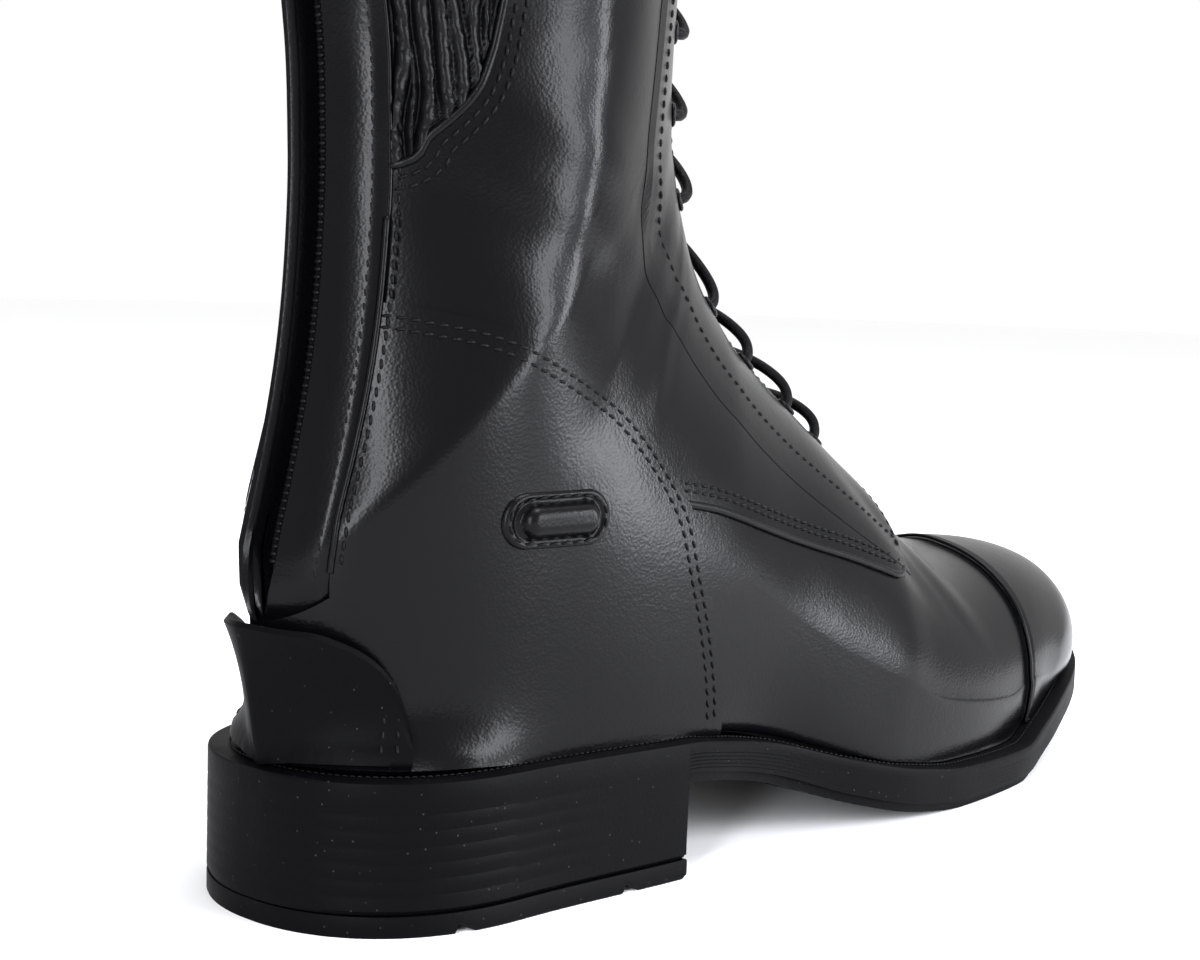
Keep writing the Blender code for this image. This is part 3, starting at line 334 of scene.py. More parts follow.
def sole_ring(x, in_heel):
    """Insets and heights down the side of the sole, x measured from its back."""
    top = ledge_height(x)
    bottom = LIFT_THICKNESS + LIFT_GAP if in_heel else underside(x)
    inset = 0.0 if in_heel else TREAD_INSET
    tread = SOLE_BEVEL if in_heel else TREAD_HEIGHT
    depth = STACK_DEPTH * fade(x, HEEL_ROUND * 0.8, 0.75 * HEEL_LENGTH)
    side = [(0.012, top), (SOLE_BEVEL, top), (0.3 * SOLE_BEVEL, top - 0.25 * SOLE_BEVEL), (0.0, top - SOLE_BEVEL)]
    height = top - SOLE_BEVEL - bottom - tread
    for line in range(STACK_LINES):
        level_z = top - SOLE_BEVEL - height * (0.22 + 0.66 * line / (STACK_LINES - 1))
        side += [(0.0, level_z + 0.0004), (depth, level_z), (0.2 * depth, level_z - 0.0006)]
    return side + [(0.0, bottom + tread), (max(inset, SOLE_BEVEL / 2), bottom + tread - 0.0002),
                   (max(inset, SOLE_BEVEL), bottom)]


sole_rings = [cross_ring(x, sole_ring(x, True))
              for x in heel_places() + list(np.linspace(HEEL_ROUND, HEEL_LENGTH - 0.0003, 16))[1:]]
fore_places = list(np.linspace(HEEL_LENGTH, SOLE_LENGTH - TOE_ROUND, 50))[1:-1]
sole_rings += [cross_ring(x, sole_ring(x, False)) for x in [HEEL_LENGTH] + fore_places + toe_places()]
fasten(loft("sole_unit", sole_rings, sole_rubber), "outsole")

# Wearing piece: a thinner slab of harder rubber nailed under the heel, with two channels across it.
CHANNEL_SHARES = (0.306, 0.811)
lift_places = [(x, 0.0) for x in heel_places() + list(np.linspace(HEEL_ROUND, HEEL_LENGTH - 0.001, 14))[1:]]
for share in CHANNEL_SHARES:
    x = share * HEEL_LENGTH
    lift_places = [p for p in lift_places if abs(p[0] - x) > 0.003]
    lift_places += [(x - 0.00225, 0.0), (x - 0.00135, 0.0018), (x + 0.00225, 0.0)]
lift_places.append((HEEL_LENGTH, 0.0006))
lift_rings = [cross_ring(x, [(0.0002, LIFT_THICKNESS), (0.0, LIFT_THICKNESS - 0.0004), (0.0, low + 0.0004),
                             (0.0004, low)]) for x, low in sorted(lift_places)]
fasten(loft("heel_wearing_piece", lift_rings, sole_rubber), "heel_top_lift")

# Tread bars: low rounded ribs of the same rubber, moulded across the sole under the ball of the
# foot, so that it grips a stirrup.
TREAD_BARS = 6


def tube(name, runs, half, finish, sides=8, flat=1.0):
    """Round or flattened bead along runs of (points, normals)."""
    verts = []
    faces = []
    for points, normals in runs:
        base = len(verts)
        run = np.gradient(points, axis=0)
        run /= np.linalg.norm(run, axis=1)[:, None]
        out = normals - run * (run * normals).sum(axis=1)[:, None]
        out /= np.linalg.norm(out, axis=1)[:, None]
        wide = np.cross(out, run)
        for p, o, w in zip(points, out, wide):
            for k in range(sides):
                angle = 2 * math.pi * k / sides
                verts.append(p + w * half * math.cos(angle) + o * half * flat * math.sin(angle))
        count = len(points)
        faces += [(base + r * sides + k, base + r * sides + (k + 1) % sides,
                   base + (r + 1) * sides + (k + 1) % sides, base + (r + 1) * sides + k)
                  for r in range(count - 1) for k in range(sides)]
        faces += [tuple(base + k for k in reversed(range(sides))),
                  tuple(base + (count - 1) * sides + k for k in range(sides))]
    return build(name, verts, faces, finish, 0)


tread_bars = []
for number in range(TREAD_BARS):
    x = SOLE_LENGTH * (0.58 + 0.19 * number / (TREAD_BARS - 1))
    ys = np.linspace(-0.034, 0.034, 9)
    tread_bars.append((np.array([(x - HEEL_CENTRE, y, underside(x) + 0.0003) for y in ys]),
                       np.array([(0.0, 0.0, -1.0)] * 9)))
fasten(tube("tread_bars", tread_bars, 0.0016, sole_rubber, 8, 0.35))

# Ledge stitches: a fine row of waxed thread sunk in the ledge, close to the upper, all round. It
# holds the upper down to the sole.
THREAD_BLACK = (0.0025, 0.0025, 0.003)
thread, thread_shader, thread_nodes, thread_links = bare_finish("waxed_thread", THREAD_BLACK, 0.42, 0.0, 0.08)
thread_twist = link_noise(thread_nodes, thread_links, 3500.0, 1.0)
raise_bump(thread_nodes, thread_links, thread_shader, thread_twist.outputs["Fac"], 0.0001)

STITCH_PITCH = 0.0027
STITCH_LENGTH = 0.0021
THREAD_HALF = 0.00034


def stitch_shape():
    """One stitch along x, its ends bent down into the leather."""
    rings = []
    for s in (-0.95, -0.6, 0.0, 0.6, 0.95):
        half = THREAD_HALF * (1 - s ** 4) ** 0.5
        for k in range(6):
            angle = 2 * math.pi * k / 6
            rings.append((s * STITCH_LENGTH / 2, half * math.cos(angle),
                          half * math.sin(angle) - 0.9 * THREAD_HALF * s * s))
    faces = [(r * 6 + k, r * 6 + (k + 1) % 6, r * 6 + 6 + (k + 1) % 6, r * 6 + 6 + k)
             for r in range(4) for k in range(6)]
    faces += [tuple(reversed(range(6))), tuple(range(24, 30))]
    return np.array(rings), faces


STITCH, STITCH_FACES = stitch_shape()


def sew(name, rows, slant=9.0, size=1.0):
    """One piece of slanted thread stitches along rows of (points, normals)."""
    verts = []
    faces = []
    lean = math.tan(math.radians(slant))
    for points, normals in rows:
        steps = np.linalg.norm(np.diff(points, axis=0), axis=1)
        length = np.concatenate([[0], np.cumsum(steps)])
        count = int(length[-1] / STITCH_PITCH / size)
        for k in range(count):
            s = (k + 0.5) * length[-1] / count
            spot = np.array([np.interp(s, length, points[:, n]) for n in range(3)])
            ahead_spot = np.array([np.interp(s + 0.0004, length, points[:, n]) for n in range(3)])
            behind_spot = np.array([np.interp(s - 0.0004, length, points[:, n]) for n in range(3)])
            out = np.array([np.interp(s, length, normals[:, n]) for n in range(3)])
            run = ahead_spot - behind_spot
            run /= np.linalg.norm(run)
            out -= run * (run @ out)
            out /= np.linalg.norm(out)
            wide = np.cross(out, run)
            run = run + wide * lean
            run /= np.linalg.norm(run)
            wide = np.cross(out, run)
            base = len(verts) * len(STITCH)
            shape = STITCH * size
            verts.append(spot + shape[:, :1] * run + shape[:, 1:2] * wide
                         + (shape[:, 2:] + 0.4 * THREAD_HALF) * out)
            faces += [tuple(base + n for n in f) for f in STITCH_FACES]
    return fasten(build(name, np.concatenate(verts), faces, thread, 0))


LEDGE_ROW = 0.0035
ledge_stitches = []
for side in (-1, 1):
    xs = heel_places(LEDGE_ROW)[2:] + list(np.linspace(HEEL_ROUND, SOLE_LENGTH - TOE_ROUND, 60))[1:-1]
    xs += toe_places(LEDGE_ROW)[:-2]
    line = np.array([(x - HEEL_CENTRE, side * half_width(x, side, 0.0042), ledge_height(x) + 0.0001) for x in xs])
    ledge_stitches.append((line, np.array([(0.0, 0.0, 1.0)] * len(line))))
sew("ledge_stitches", ledge_stitches, 0.0, 0.55)

# Insole: a fibre board with a thin padded sock of lining leather glued over it. It lies on the sole
# inside the upper.
INSOLE_INSET = 0.0109
SOCK_THICKNESS = 0.0022
SOCK_CROWN = 0.0005
lining_leather, lining_shader, lining_nodes, lining_links = bare_finish("lining_leather", (0.008, 0.008, 0.009), 0.75)
lining_nap = link_noise(lining_nodes, lining_links, 900.0, 4.0)
raise_bump(lining_nodes, lining_links, lining_shader, lining_nap.outputs["Fac"], 0.0001)

sock_rings = []
sock_places = heel_places(INSOLE_INSET) + list(np.linspace(HEEL_ROUND, SOLE_LENGTH - TOE_ROUND, 30))[1:-1]
for x in sock_places + toe_places(INSOLE_INSET):
    low = ledge_height(x) + LIFT_GAP
    halves = [half_width(x, side, INSOLE_INSET) for side in (-1, 1)]
    ring = [(x - HEEL_CENTRE, -halves[0], low)]
    ring += [(x - HEEL_CENTRE, -halves[0] + (halves[0] + halves[1]) * s,
              low + SOCK_THICKNESS + SOCK_CROWN * math.sin(math.pi * s)) for s in np.linspace(0, 1, 9)]
    sock_rings.append(ring + [(x - HEEL_CENTRE, halves[1], low)])
fasten(loft("insole_sock", sock_rings, lining_leather), "insole")

# Vamp and lining: the foot of the boot is cut in one piece and pulled over the last; inside, all
# of it is lined with smooth leather. The vamp runs under the quarters, the toe cap and the counter.
INSTEP_RISE = 0.120
SHAFT_RISE = 0.310
ANKLE_WIDTH = 0.066
CALF_WIDTH = 0.106
LEDGE = 0.0055
WALL = 0.0024
VAMP_STEP = 0.0009
THROAT_HALF = 0.0055
BACKSTAY_WIDTH = 0.0105
ZIP_HALF_GAP = 0.0036
SEAT = 0.0003
CALF_BLACK = (0.0012, 0.0012, 0.0017)
LIGHT_OF_LEATHER = 0.225
FOLD_DEPTH = 0.00007

# Sections of the last from the toe, round the heel and up the leg. Each is a slanted ring from a
# front point to an end point, which lies on the feather line or on the back line. front and end
# are shares of the sole length. A lift up to 1 is a share of the instep rise above the sole, and past
# 1 a share of the shaft rise. girth runs from 0, ball, through 1, ankle, to 2, calf; outer and inner
# are shares of half that width, widest at the share deep of the way back.
SECTIONS = np.array([
    # front, front_lift, end, end_lift, girth, outer, inner, deep, front_power, back_power, inner_back
    (0.979, 0.068, 0.868, 0, 0, 0.58, 0.68, 0.9, 1.75, 3, 3),
    (0.976, 0.142, 0.85, 0, 0, 0.62, 0.72, 0.86, 1.78, 3, 3),
    (0.964, 0.211, 0.834, 0, 0, 0.655, 0.75, 0.82, 1.8, 3, 3),
    (0.937, 0.27, 0.819, 0, 0, 0.69, 0.775, 0.79, 1.83, 3, 3),
    (0.896, 0.316, 0.804, 0, 0, 0.725, 0.8, 0.77, 1.87, 3, 3),
    (0.843, 0.353, 0.787, 0, 0, 0.77, 0.835, 0.75, 1.95, 3, 3),
    (0.784, 0.378, 0.769, 0, 0, 0.815, 0.87, 0.74, 2.05, 3, 3),
    (0.728, 0.408, 0.717, 0.000, 0.00, 0.88, 0.89, 0.74, 2.0, 2.8, 2.8),
    (0.679, 0.447, 0.662, 0.000, 0.00, 0.91, 0.88, 0.74, 1.9, 2.6, 2.6),
    (0.631, 0.518, 0.603, 0.000, 0.00, 0.91, 0.845, 0.74, 1.8, 2.5, 2.5),
    (0.606, 0.558, 0.573, 0.000, 0.00, 0.90, 0.825, 0.73, 1.77, 2.5, 2.5),
    (0.577, 0.598, 0.541, 0.000, 0.00, 0.89, 0.80, 0.72, 1.75, 2.5, 2.5),
    (0.526, 0.655, 0.476, 0.000, 0.05, 0.85, 0.76, 0.70, 1.7, 2.5, 2.5),
    (0.477, 0.695, 0.407, 0.000, 0.30, 0.865, 0.79, 0.67, 1.65, 2.5, 2.5),
    (0.437, 0.748, 0.338, 0.000, 0.50, 0.91, 0.82, 0.63, 1.6, 2.5, 2.5),
    (0.411, 0.816, 0.269, 0.000, 0.70, 0.97, 0.87, 0.60, 1.55, 2.5, 2.45),
    (0.396, 0.898, 0.200, 0.000, 0.85, 1.005, 0.92, 0.57, 1.5, 2.4, 2.3),
    (0.389, 0.972, 0.131, 0.000, 1.00, 1.05, 0.97, 0.55, 1.5, 2.3, 2.1),
    (0.386, 1.013, 0.069, 0.000, 1.00, 1.035, 0.965, 0.54, 1.5, 2.15, 1.9),
    (0.384, 1.032, 0.033, 0.000, 1.00, 1.025, 0.96, 0.54, 1.5, 2.05, 1.75),
    (0.383, 1.048, 0.0185, 0.000, 1.00, 1.015, 0.955, 0.54, 1.5, 2.0, 1.68),
    (0.383, 1.065, 0.0115, 0.117, 1.00, 1.01, 0.95, 0.54, 1.5, 1.95, 1.65),
    (0.382, 1.081, 0.0105, 0.233, 1.00, 1.005, 0.945, 0.54, 1.5, 1.9, 1.62),
    (0.382, 1.097, 0.017, 0.342, 1.00, 1.005, 0.95, 0.54, 1.5, 1.8, 1.55),
    (0.382, 1.113, 0.028, 0.450, 1.00, 1.00, 0.96, 0.54, 1.5, 1.7, 1.48),
    (0.382, 1.129, 0.038, 0.558, 1.00, 1.00, 0.97, 0.54, 1.5, 1.64, 1.4),
    (0.383, 1.148, 0.046, 0.675, 1.00, 1.00, 0.98, 0.54, 1.5, 1.62, 1.36),
    (0.3845, 1.168, 0.051, 0.800, 1.00, 1.00, 0.99, 0.54, 1.5, 1.62, 1.35),
    (0.387, 1.190, 0.053, 0.933, 1.01, 1.00, 0.99, 0.54, 1.52, 1.62, 1.36),
    (0.3905, 1.216, 0.052, 1.029, 1.07, 1.00, 0.99, 0.54, 1.56, 1.63, 1.38),
    (0.395, 1.248, 0.046, 1.090, 1.17, 1.00, 0.99, 0.53, 1.62, 1.66, 1.45),
    (0.399, 1.287, 0.037, 1.161, 1.33, 1.00, 1.00, 0.52, 1.7, 1.72, 1.55),
    (0.405, 1.335, 0.025, 1.242, 1.50, 1.00, 1.00, 0.51, 1.8, 1.8, 1.68),
    (0.411, 1.397, 0.011, 1.335, 1.68, 1.00, 1.00, 0.50, 1.9, 1.9, 1.8),
    (0.417, 1.474, -0.001, 1.445, 1.85, 1.00, 1.00, 0.50, 1.95, 2.0, 1.95),
    (0.422, 1.568, -0.009, 1.565, 1.95, 1.00, 1.00, 0.50, 2.0, 2.1, 2.1),
    (0.426, 1.703, -0.011, 1.703, 2.00, 1.00, 1.00, 0.50, 2.0, 2.1, 2.1),
    (0.428, 1.852, -0.004, 1.852, 2.00, 1.00, 1.00, 0.50, 2.0, 2.1, 2.1),
    (0.428, 1.97, 0.003, 1.97, 1.985, 1.00, 1.00, 0.50, 2, 2.1, 2.1),
    (0.428, 2.000, 0.005, 2.000, 1.98, 1.00, 1.00, 0.50, 2.0, 2.1, 2.1),
])
BACK_ROW = 20
ZIP_ROW = 22
LAST_ROW = len(SECTIONS) - 1
EDGE = 12
FRONT_COLUMNS = 6
FINE = 5
LOOSE = 0.8
TINY = 1e-12


def dress_leather(name, colour, smooth, grain, pores):
    """Dyed leather with pebble grain, slow folds and a dressing that is duller in patches."""
    finish, shader, nodes, links = bare_finish(name, colour, smooth)
    patches = link_noise(nodes, links, 45.0, 3.0)
    dulled = spread(nodes, links, patches.outputs["Fac"], smooth - 0.04, smooth + 0.05)
    links.new(dulled, shader.inputs["Roughness"])
    pebbles = link_cells(nodes, links, pores)
    pebbles.feature = "SMOOTH_F1"
    pebbles.inputs["Smoothness"].default_value = 0.6
    raise_bump(nodes, links, shader, pebbles.outputs["Distance"], grain)
    folds = link_noise(nodes, links, 260.0, 3.0)
    raise_bump(nodes, links, shader, folds.outputs["Fac"], FOLD_DEPTH, 0.5)
    return finish


boot_leather = dress_leather("boot_leather", CALF_BLACK, LIGHT_OF_LEATHER, 0.000026, 1500.0)
LEDGE_TABLE = np.array([ledge_height(x) for x in np.linspace(0, SOLE_LENGTH, 291)])


def ledge_under(x):
    """Heights of the ledge under many places at once, x in the boot's own frame."""
    return np.interp(np.asarray(x) + HEEL_CENTRE, np.linspace(0, SOLE_LENGTH, 291), LEDGE_TABLE)


def lift_height(lift):
    return INSTEP_RISE * min(lift, 1.0) + SHAFT_RISE * max(lift - 1.0, 0.0)


def ring_row(place):
    """Row of the table at a broken row number, bent smoothly between its neighbours."""
    k = min(int(place), LAST_ROW - 1)
    t = place - k
    before, here, there, after = (SECTIONS[min(max(k + n, 0), LAST_ROW)] for n in (-1, 0, 1, 2))
    bend = 2 * before - 5 * here + 4 * there - after
    twist = 3 * here - before - 3 * there + after
    return 0.5 * (2 * here + (there - before) * t + bend * t ** 2 + twist * t ** 3)


def ring_points(place, side):
    """Fine points of one ring on one side, from the front middle to its end."""
    row = ring_row(place)
    front_x, end_x = row[0] * SOLE_LENGTH, row[2] * SOLE_LENGTH
    base = ledge_height(max(end_x, 0.0)) + SEAT
    front = np.array((front_x, base + lift_height(row[1])))
    end = np.array((end_x, base + lift_height(row[3])))
    if place <= BACK_ROW:
        end_half = max(half_width(max(end_x, LEDGE), side, LEDGE), 0.0)
    else:
        end_half = ZIP_HALF_GAP * min(max(place - ZIP_ROW, 0.0), 1.0)
    girth = row[4]
    width = BALL_WIDTH + (ANKLE_WIDTH - BALL_WIDTH) * min(girth, 1.0)
    width += (CALF_WIDTH - ANKLE_WIDTH) * max(girth - 1.0, 0.0)
    widest = max(row[5 if side < 0 else 6] * width / 2, end_half)
    deep, power, back_power = row[7], row[8], row[9 if side < 0 else 10]
    first = math.acos((1 - (THROAT_HALF / widest) ** power) ** (1 / power))
    share = min(BACKSTAY_WIDTH / max(widest - end_half, BACKSTAY_WIDTH / 0.6), 0.6)
    last = math.asin((1 - share ** back_power) ** (1 / back_power))
    angles = [last * k / 4 for k in range(1, 5)] + [(last + math.pi / 2) / 2, math.pi / 2]
    even = fade(place, BACK_ROW - 3, ZIP_ROW - 1)
    angles = [0.0] + [a * (1 - even) + math.asin(k / 6) * even for k, a in enumerate(angles, start=1)]
    points = []
    for k in range(EDGE * FINE + 1):
        column = k / FINE
        if column < 1:
            half = THROAT_HALF * column
            cosine = (1 - (half / widest) ** power) ** (1 / power)
            along = deep * (1 - cosine)
        elif column <= FRONT_COLUMNS:
            angle = first + (math.pi / 2 - first) * (column - 1) / (FRONT_COLUMNS - 1)
            cosine = max(math.cos(angle), 0.0)
            half = widest * (1 - cosine ** power) ** (1 / power)
            along = deep * (1 - cosine)
        else:
            sine = min(math.sin(np.interp(column - FRONT_COLUMNS, range(7), angles)), 1.0)
            half = end_half + (widest - end_half) * (1 - sine ** back_power) ** (1 / back_power)
            along = deep + (1 - deep) * sine
        x, z = front + (end - front) * along
        z = max(z, ledge_height(min(max(x, 0.0), SOLE_LENGTH)) + SEAT)
        points.append((x - HEEL_CENTRE, side * half, z))
    return points


# Creases and hollows of worn leather, listed one by one: middle of each in side view, side, depth,
# half lengths along and across it, and its slope in degrees.
CREASES = (
    (0.012, 0.128, -1, -0.0012, 0.030, 0.007, -24),
    (0.020, 0.150, -1, 0.0010, 0.026, 0.006, -18),
    (0.040, 0.139, -1, -0.0008, 0.020, 0.005, -38),
    (0.000, 0.172, -1, -0.0010, 0.024, 0.008, 12),
    (0.034, 0.196, -1, 0.0009, 0.034, 0.010, 70),
    (0.006, 0.232, -1, -0.0009, 0.030, 0.010, 82),
    (0.126, 0.066, -1, -0.0007, 0.018, 0.004, -52),
    (0.148, 0.056, -1, 0.0006, 0.018, 0.004, -58),
    (0.010, 0.130, 1, -0.0012, 0.028, 0.007, -20),
    (0.022, 0.152, 1, 0.0010, 0.026, 0.007, -14),
    (0.004, 0.178, 1, -0.0010, 0.024, 0.008, 10),
    (0.030, 0.220, 1, 0.0009, 0.036, 0.010, 76),
    (0.128, 0.064, 1, -0.0007, 0.018, 0.004, -50),
    (0.010, 0.330, 1, -0.0010, 0.050, 0.016, 84),
    (0.022, 0.350, -1, 0.0009, 0.050, 0.015, 82),
)


def outward(grid):
    return np.cross(np.gradient(grid, axis=0), np.gradient(grid, axis=1))


def sag(grid):
    """Way from each inner knot of a grid to the middle of its four neighbours."""
    return (grid[2:, 1:-1] + grid[:-2, 1:-1] + grid[1:-1, 2:] + grid[1:-1, :-2]) / 4 - grid[1:-1, 1:-1]


def last_grid():
    """Fine grid of the last, with its outward normals; the wood is rounded off at the heel and the tread."""
    rows = LAST_ROW * FINE
    columns = EDGE * FINE
    grid = np.zeros((rows + 1, 2 * columns + 1, 3))
    for i in range(rows + 1):
        grid[i, :columns + 1] = np.array(ring_points(i / FINE, -1))[::-1]
        grid[i, columns:] = np.array(ring_points(i / FINE, 1))
    row = np.arange(rows + 1) / FINE
    column = np.abs(np.arange(2 * columns + 1) / FINE - EDGE)
    heel = np.clip(1 - np.abs(row - 18.5) / 4.5, 0, 1)[:, None] * np.clip((column - 5.0) / 3.0, 0, 1)
    for _ in range(160):
        grid[1:-1, 1:-1] += np.minimum(heel, LOOSE)[1:-1, 1:-1, None] * sag(grid)
    out = outward(grid)
    out = (out / np.maximum(np.linalg.norm(out, axis=2), TINY)[:, :, None])[1:-1, 1:-1]
    tread = np.clip(1 - np.abs(row - 7.0) / 3.5, 0, 1)[1:-1, None, None]
    for _ in range(60):
        grid[1:-1, 1:-1] += LOOSE * tread * out * (sag(grid) * out).sum(axis=2)[:, :, None]
    normals = outward(grid)
    size = np.linalg.norm(normals, axis=2)
    normals[size < TINY] = (0.0, 0.0, 1.0)
    normals /= np.maximum(size, TINY)[:, :, None]
    if normals[-1, columns + FINE * FRONT_COLUMNS, 1] < 0:
        normals = -normals
    closed = slice(BACK_ROW * FINE, ZIP_ROW * FINE + 1)
    both = normals[closed, 0] + normals[closed, -1]
    both[:, 1] = 0.0
    both /= np.linalg.norm(both, axis=1)[:, None]
    normals[closed, 0] = both
    normals[closed, -1] = both
    move = np.zeros(grid.shape[:2])
    for x, z, side, depth, length, breadth, slope in CREASES:
        turn = math.radians(slope)
        u = (grid[:, :, 0] - x) * math.cos(turn) + (grid[:, :, 2] - z) * math.sin(turn)
        v = (grid[:, :, 2] - z) * math.cos(turn) - (grid[:, :, 0] - x) * math.sin(turn)
        near = np.clip(side * grid[:, :, 1] / 0.012, 0.0, 1.0)
        move += depth * near * np.exp(-(u / length) ** 2 - (v / breadth) ** 2)
    grid = grid + normals * move[:, :, None]
    bent = outward(grid)
    bent /= np.maximum(np.linalg.norm(bent, axis=2), TINY)[:, :, None]
    bent *= np.sign((bent * normals).sum(axis=2))[:, :, None]
    steep = np.clip(np.abs(move) / 0.0001, 0.0, 1.0)[:, :, None]
    normals = normals * (1 - steep) + bent * steep
    normals /= np.linalg.norm(normals, axis=2)[:, :, None]
    return grid, normals


LAST, LAST_NORMALS = last_grid()
ROWS, COLUMNS = LAST.shape[:2]
last_faces = [(i * COLUMNS + j, i * COLUMNS + j + 1, (i + 1) * COLUMNS + j + 1, (i + 1) * COLUMNS + j)
              for i in range(ROWS - 1) for j in range(COLUMNS - 1)]
last_tree = BVHTree.FromPolygons([Vector(p) for p in LAST.reshape(-1, 3)], last_faces)


def on_last(place, column, lift=0.0):
    """Points and normals at broken row and column numbers, bent smoothly between the fine rings."""
    i = np.clip(np.asarray(place, float) * FINE, 0, ROWS - 1.000001)
    j = np.clip((np.asarray(column, float) + EDGE) * FINE, 0, COLUMNS - 1.000001)
    i, j = np.broadcast_arrays(i, j)
    i0, j0 = i.astype(int), j.astype(int)
    a, b = (i - i0)[..., None], (j - j0)[..., None]

    def mixed(table):
        return ((table[i0, j0] * (1 - a) + table[i0 + 1, j0] * a) * (1 - b)
                + (table[i0, j0 + 1] * (1 - a) + table[i0 + 1, j0 + 1] * a) * b)

    normals = mixed(LAST_NORMALS)
    normals = normals / np.linalg.norm(normals, axis=-1)[..., None]
    points = mixed(LAST) + normals * np.asarray(lift)[..., None]
    points[..., 2] = np.maximum(points[..., 2], ledge_under(points[..., 0]) + SEAT)
    return points, normals


def last_normal(spot):
    """Smooth outward normal of the last nearest to a spot."""
    place, _, face, _ = last_tree.find_nearest(spot)
    ring = last_faces[face]
    corners = [Vector(LAST[k // COLUMNS, k % COLUMNS]) for k in ring]
    weights = poly_3d_calc(corners, place)
    return sum((Vector(LAST_NORMALS[k // COLUMNS, k % COLUMNS]) * w for k, w in zip(ring, weights)),
               Vector()).normalized()


def layer(name, blocks, low, high, finish, holes=()):
    """Closed layer of leather over blocks (row, row, column, column) of the last, between two lifts."""
    cells = set()
    for r0, r1, c0, c1 in blocks:
        cells |= {(i, j) for i in range(round(r0 * FINE), round(r1 * FINE))
                  for j in range(round((c0 + EDGE) * FINE), round((c1 + EDGE) * FINE))}
    for r0, r1, c0, c1 in holes:
        cells -= {(i, j) for i in range(round(r0 * FINE), round(r1 * FINE))
                  for j in range(round((c0 + EDGE) * FINE), round((c1 + EDGE) * FINE))}
    seam = range(BACK_ROW * FINE, ZIP_ROW * FINE + 1)

    def knot(i, j):
        return (i, COLUMNS - 1) if j == 0 and i in seam else (i, j)

    quads = [[knot(i, j), knot(i, j + 1), knot(i + 1, j + 1), knot(i + 1, j)] for i, j in sorted(cells)]
    keys = sorted({key for quad in quads for key in quad})
    index = {key: k for k, key in enumerate(keys)}
    rows = np.array([key[0] for key in keys]) / FINE
    columns = np.array([key[1] for key in keys]) / FINE - EDGE
    outer = high(rows, columns) if callable(high) else np.full(len(keys), high)
    inner = low(rows, columns) if callable(low) else np.full(len(keys), low)
    verts = np.concatenate([on_last(rows, columns, outer)[0], on_last(rows, columns, inner)[0]])
    count = len(keys)
    faces = []
    rim = {}
    for quad in quads:
        ring = [index[key] for key in quad]
        faces.append(ring)
        faces.append([k + count for k in ring[::-1]])
        for a, b in zip(ring, ring[1:] + ring[:1]):
            if (b, a) in rim:
                del rim[(b, a)]
            else:
                rim[(a, b)] = True
    for a, b in rim:
        faces.append([b, a, a + count, b + count])
    faces = [[k for n, k in enumerate(f) if k != f[n - 1]] for f in faces]
    return build(name, verts, [f for f in faces if len(set(f)) > 2], finish)


def polish(piece, flat=0.8):
    """Shade a layer with the last's own smooth normals, so that cut edges leave no ripples in the gloss."""
    mesh = piece.data
    normals = [last_normal(v.co) for v in mesh.vertices]
    loops = [None] * len(mesh.loops)
    for face in mesh.polygons:
        for k in face.loop_indices:
            guide = normals[mesh.loops[k].vertex_index]
            facing = face.normal.dot(guide)
            if facing > flat:
                loops[k] = guide
            elif facing < -flat:
                loops[k] = -guide
            else:
                loops[k] = face.normal
    mesh.normals_split_custom_set(loops)
    return piece


wall_blocks = [(0, LAST_ROW, -EDGE, EDGE)]
throat = [(11, 30, -1, 1)]


def wall_inside(rows, columns):
    return -WALL * np.interp(rows, (0, 1, 2), (0.4, 0.75, 1.0))


vamp = layer("vamp_and_lining", wall_blocks, wall_inside, -VAMP_STEP, boot_leather, throat)
vamp.data.materials.append(lining_leather)
for face in vamp.data.polygons:
    if face.normal.dot(last_normal(face.center)) < -0.5:
        face.material_index = 1
fasten(polish(vamp), "upper")

# Quarters: they hold the instep and make the whole leg. They lap over the vamp with a turned,
# rolled lower edge and are sewn down along it with two rows.
ROLL_HALF = 0.0009
QUARTER_ROWS = (0.0030, 0.0046)
edge_leather = dress_leather("edge_leather", CALF_BLACK, 0.30, 0.00003, 1700.0)
QUARTER_SEAM = ((0.22, 0.43), (0.312, 0.397), (0.349, 0.377), (0.396, 0.342), (0.451, 0.303),
                (0.503, 0.269), (0.540, 0.242), (0.572, 0.221), (0.590, 0.240), (0.599, 0.285),
                (0.612, 0.330), (0.630, 0.380), (0.650, 0.450), (0.67, 0.60))
COUNTER_SEAM = ((0.345, -0.12), (0.337, 0.02), (0.333, 0.086), (0.323, 0.197), (0.312, 0.289),
                (0.301, 0.385), (0.281, 0.466), (0.252, 0.546), (0.222, 0.603), (0.169, 0.666),
                (0.124, 0.712), (0.09, 0.732), (0.06, 0.745), (0.0, 0.75))
GUSSET_EDGE = ((-0.06, 0.935), (0.067, 0.955), (0.091, 1.004), (0.110, 1.025), (0.120, 1.045),
               (0.127, 1.075), (0.130, 1.15), (0.134, 1.30), (0.140, 1.60), (0.145, 1.93))

def seam_line(table, refine=6):
    """Smooth side-view line through a seam's table, in the boot's frame."""
    seat = ledge_height(0.0)
    raw = [np.array((x * SOLE_LENGTH - HEEL_CENTRE,
                     seat + (lift_height(z) if z > 0 else z * INSTEP_RISE))) for x, z in table]
    raw = [2 * raw[0] - raw[1]] + raw + [2 * raw[-1] - raw[-2]]
    line = []
    for k in range(1, len(raw) - 2):
        for part in range(refine):
            t = part / refine
            a, b, c, d = raw[k - 1:k + 3]
            line.append(0.5 * (2 * b + (c - a) * t + (2 * a - 5 * b + 4 * c - d) * t ** 2
                               + (3 * b - a - 3 * c + d) * t ** 3))
    line.append(raw[-2])
    return np.array(line)


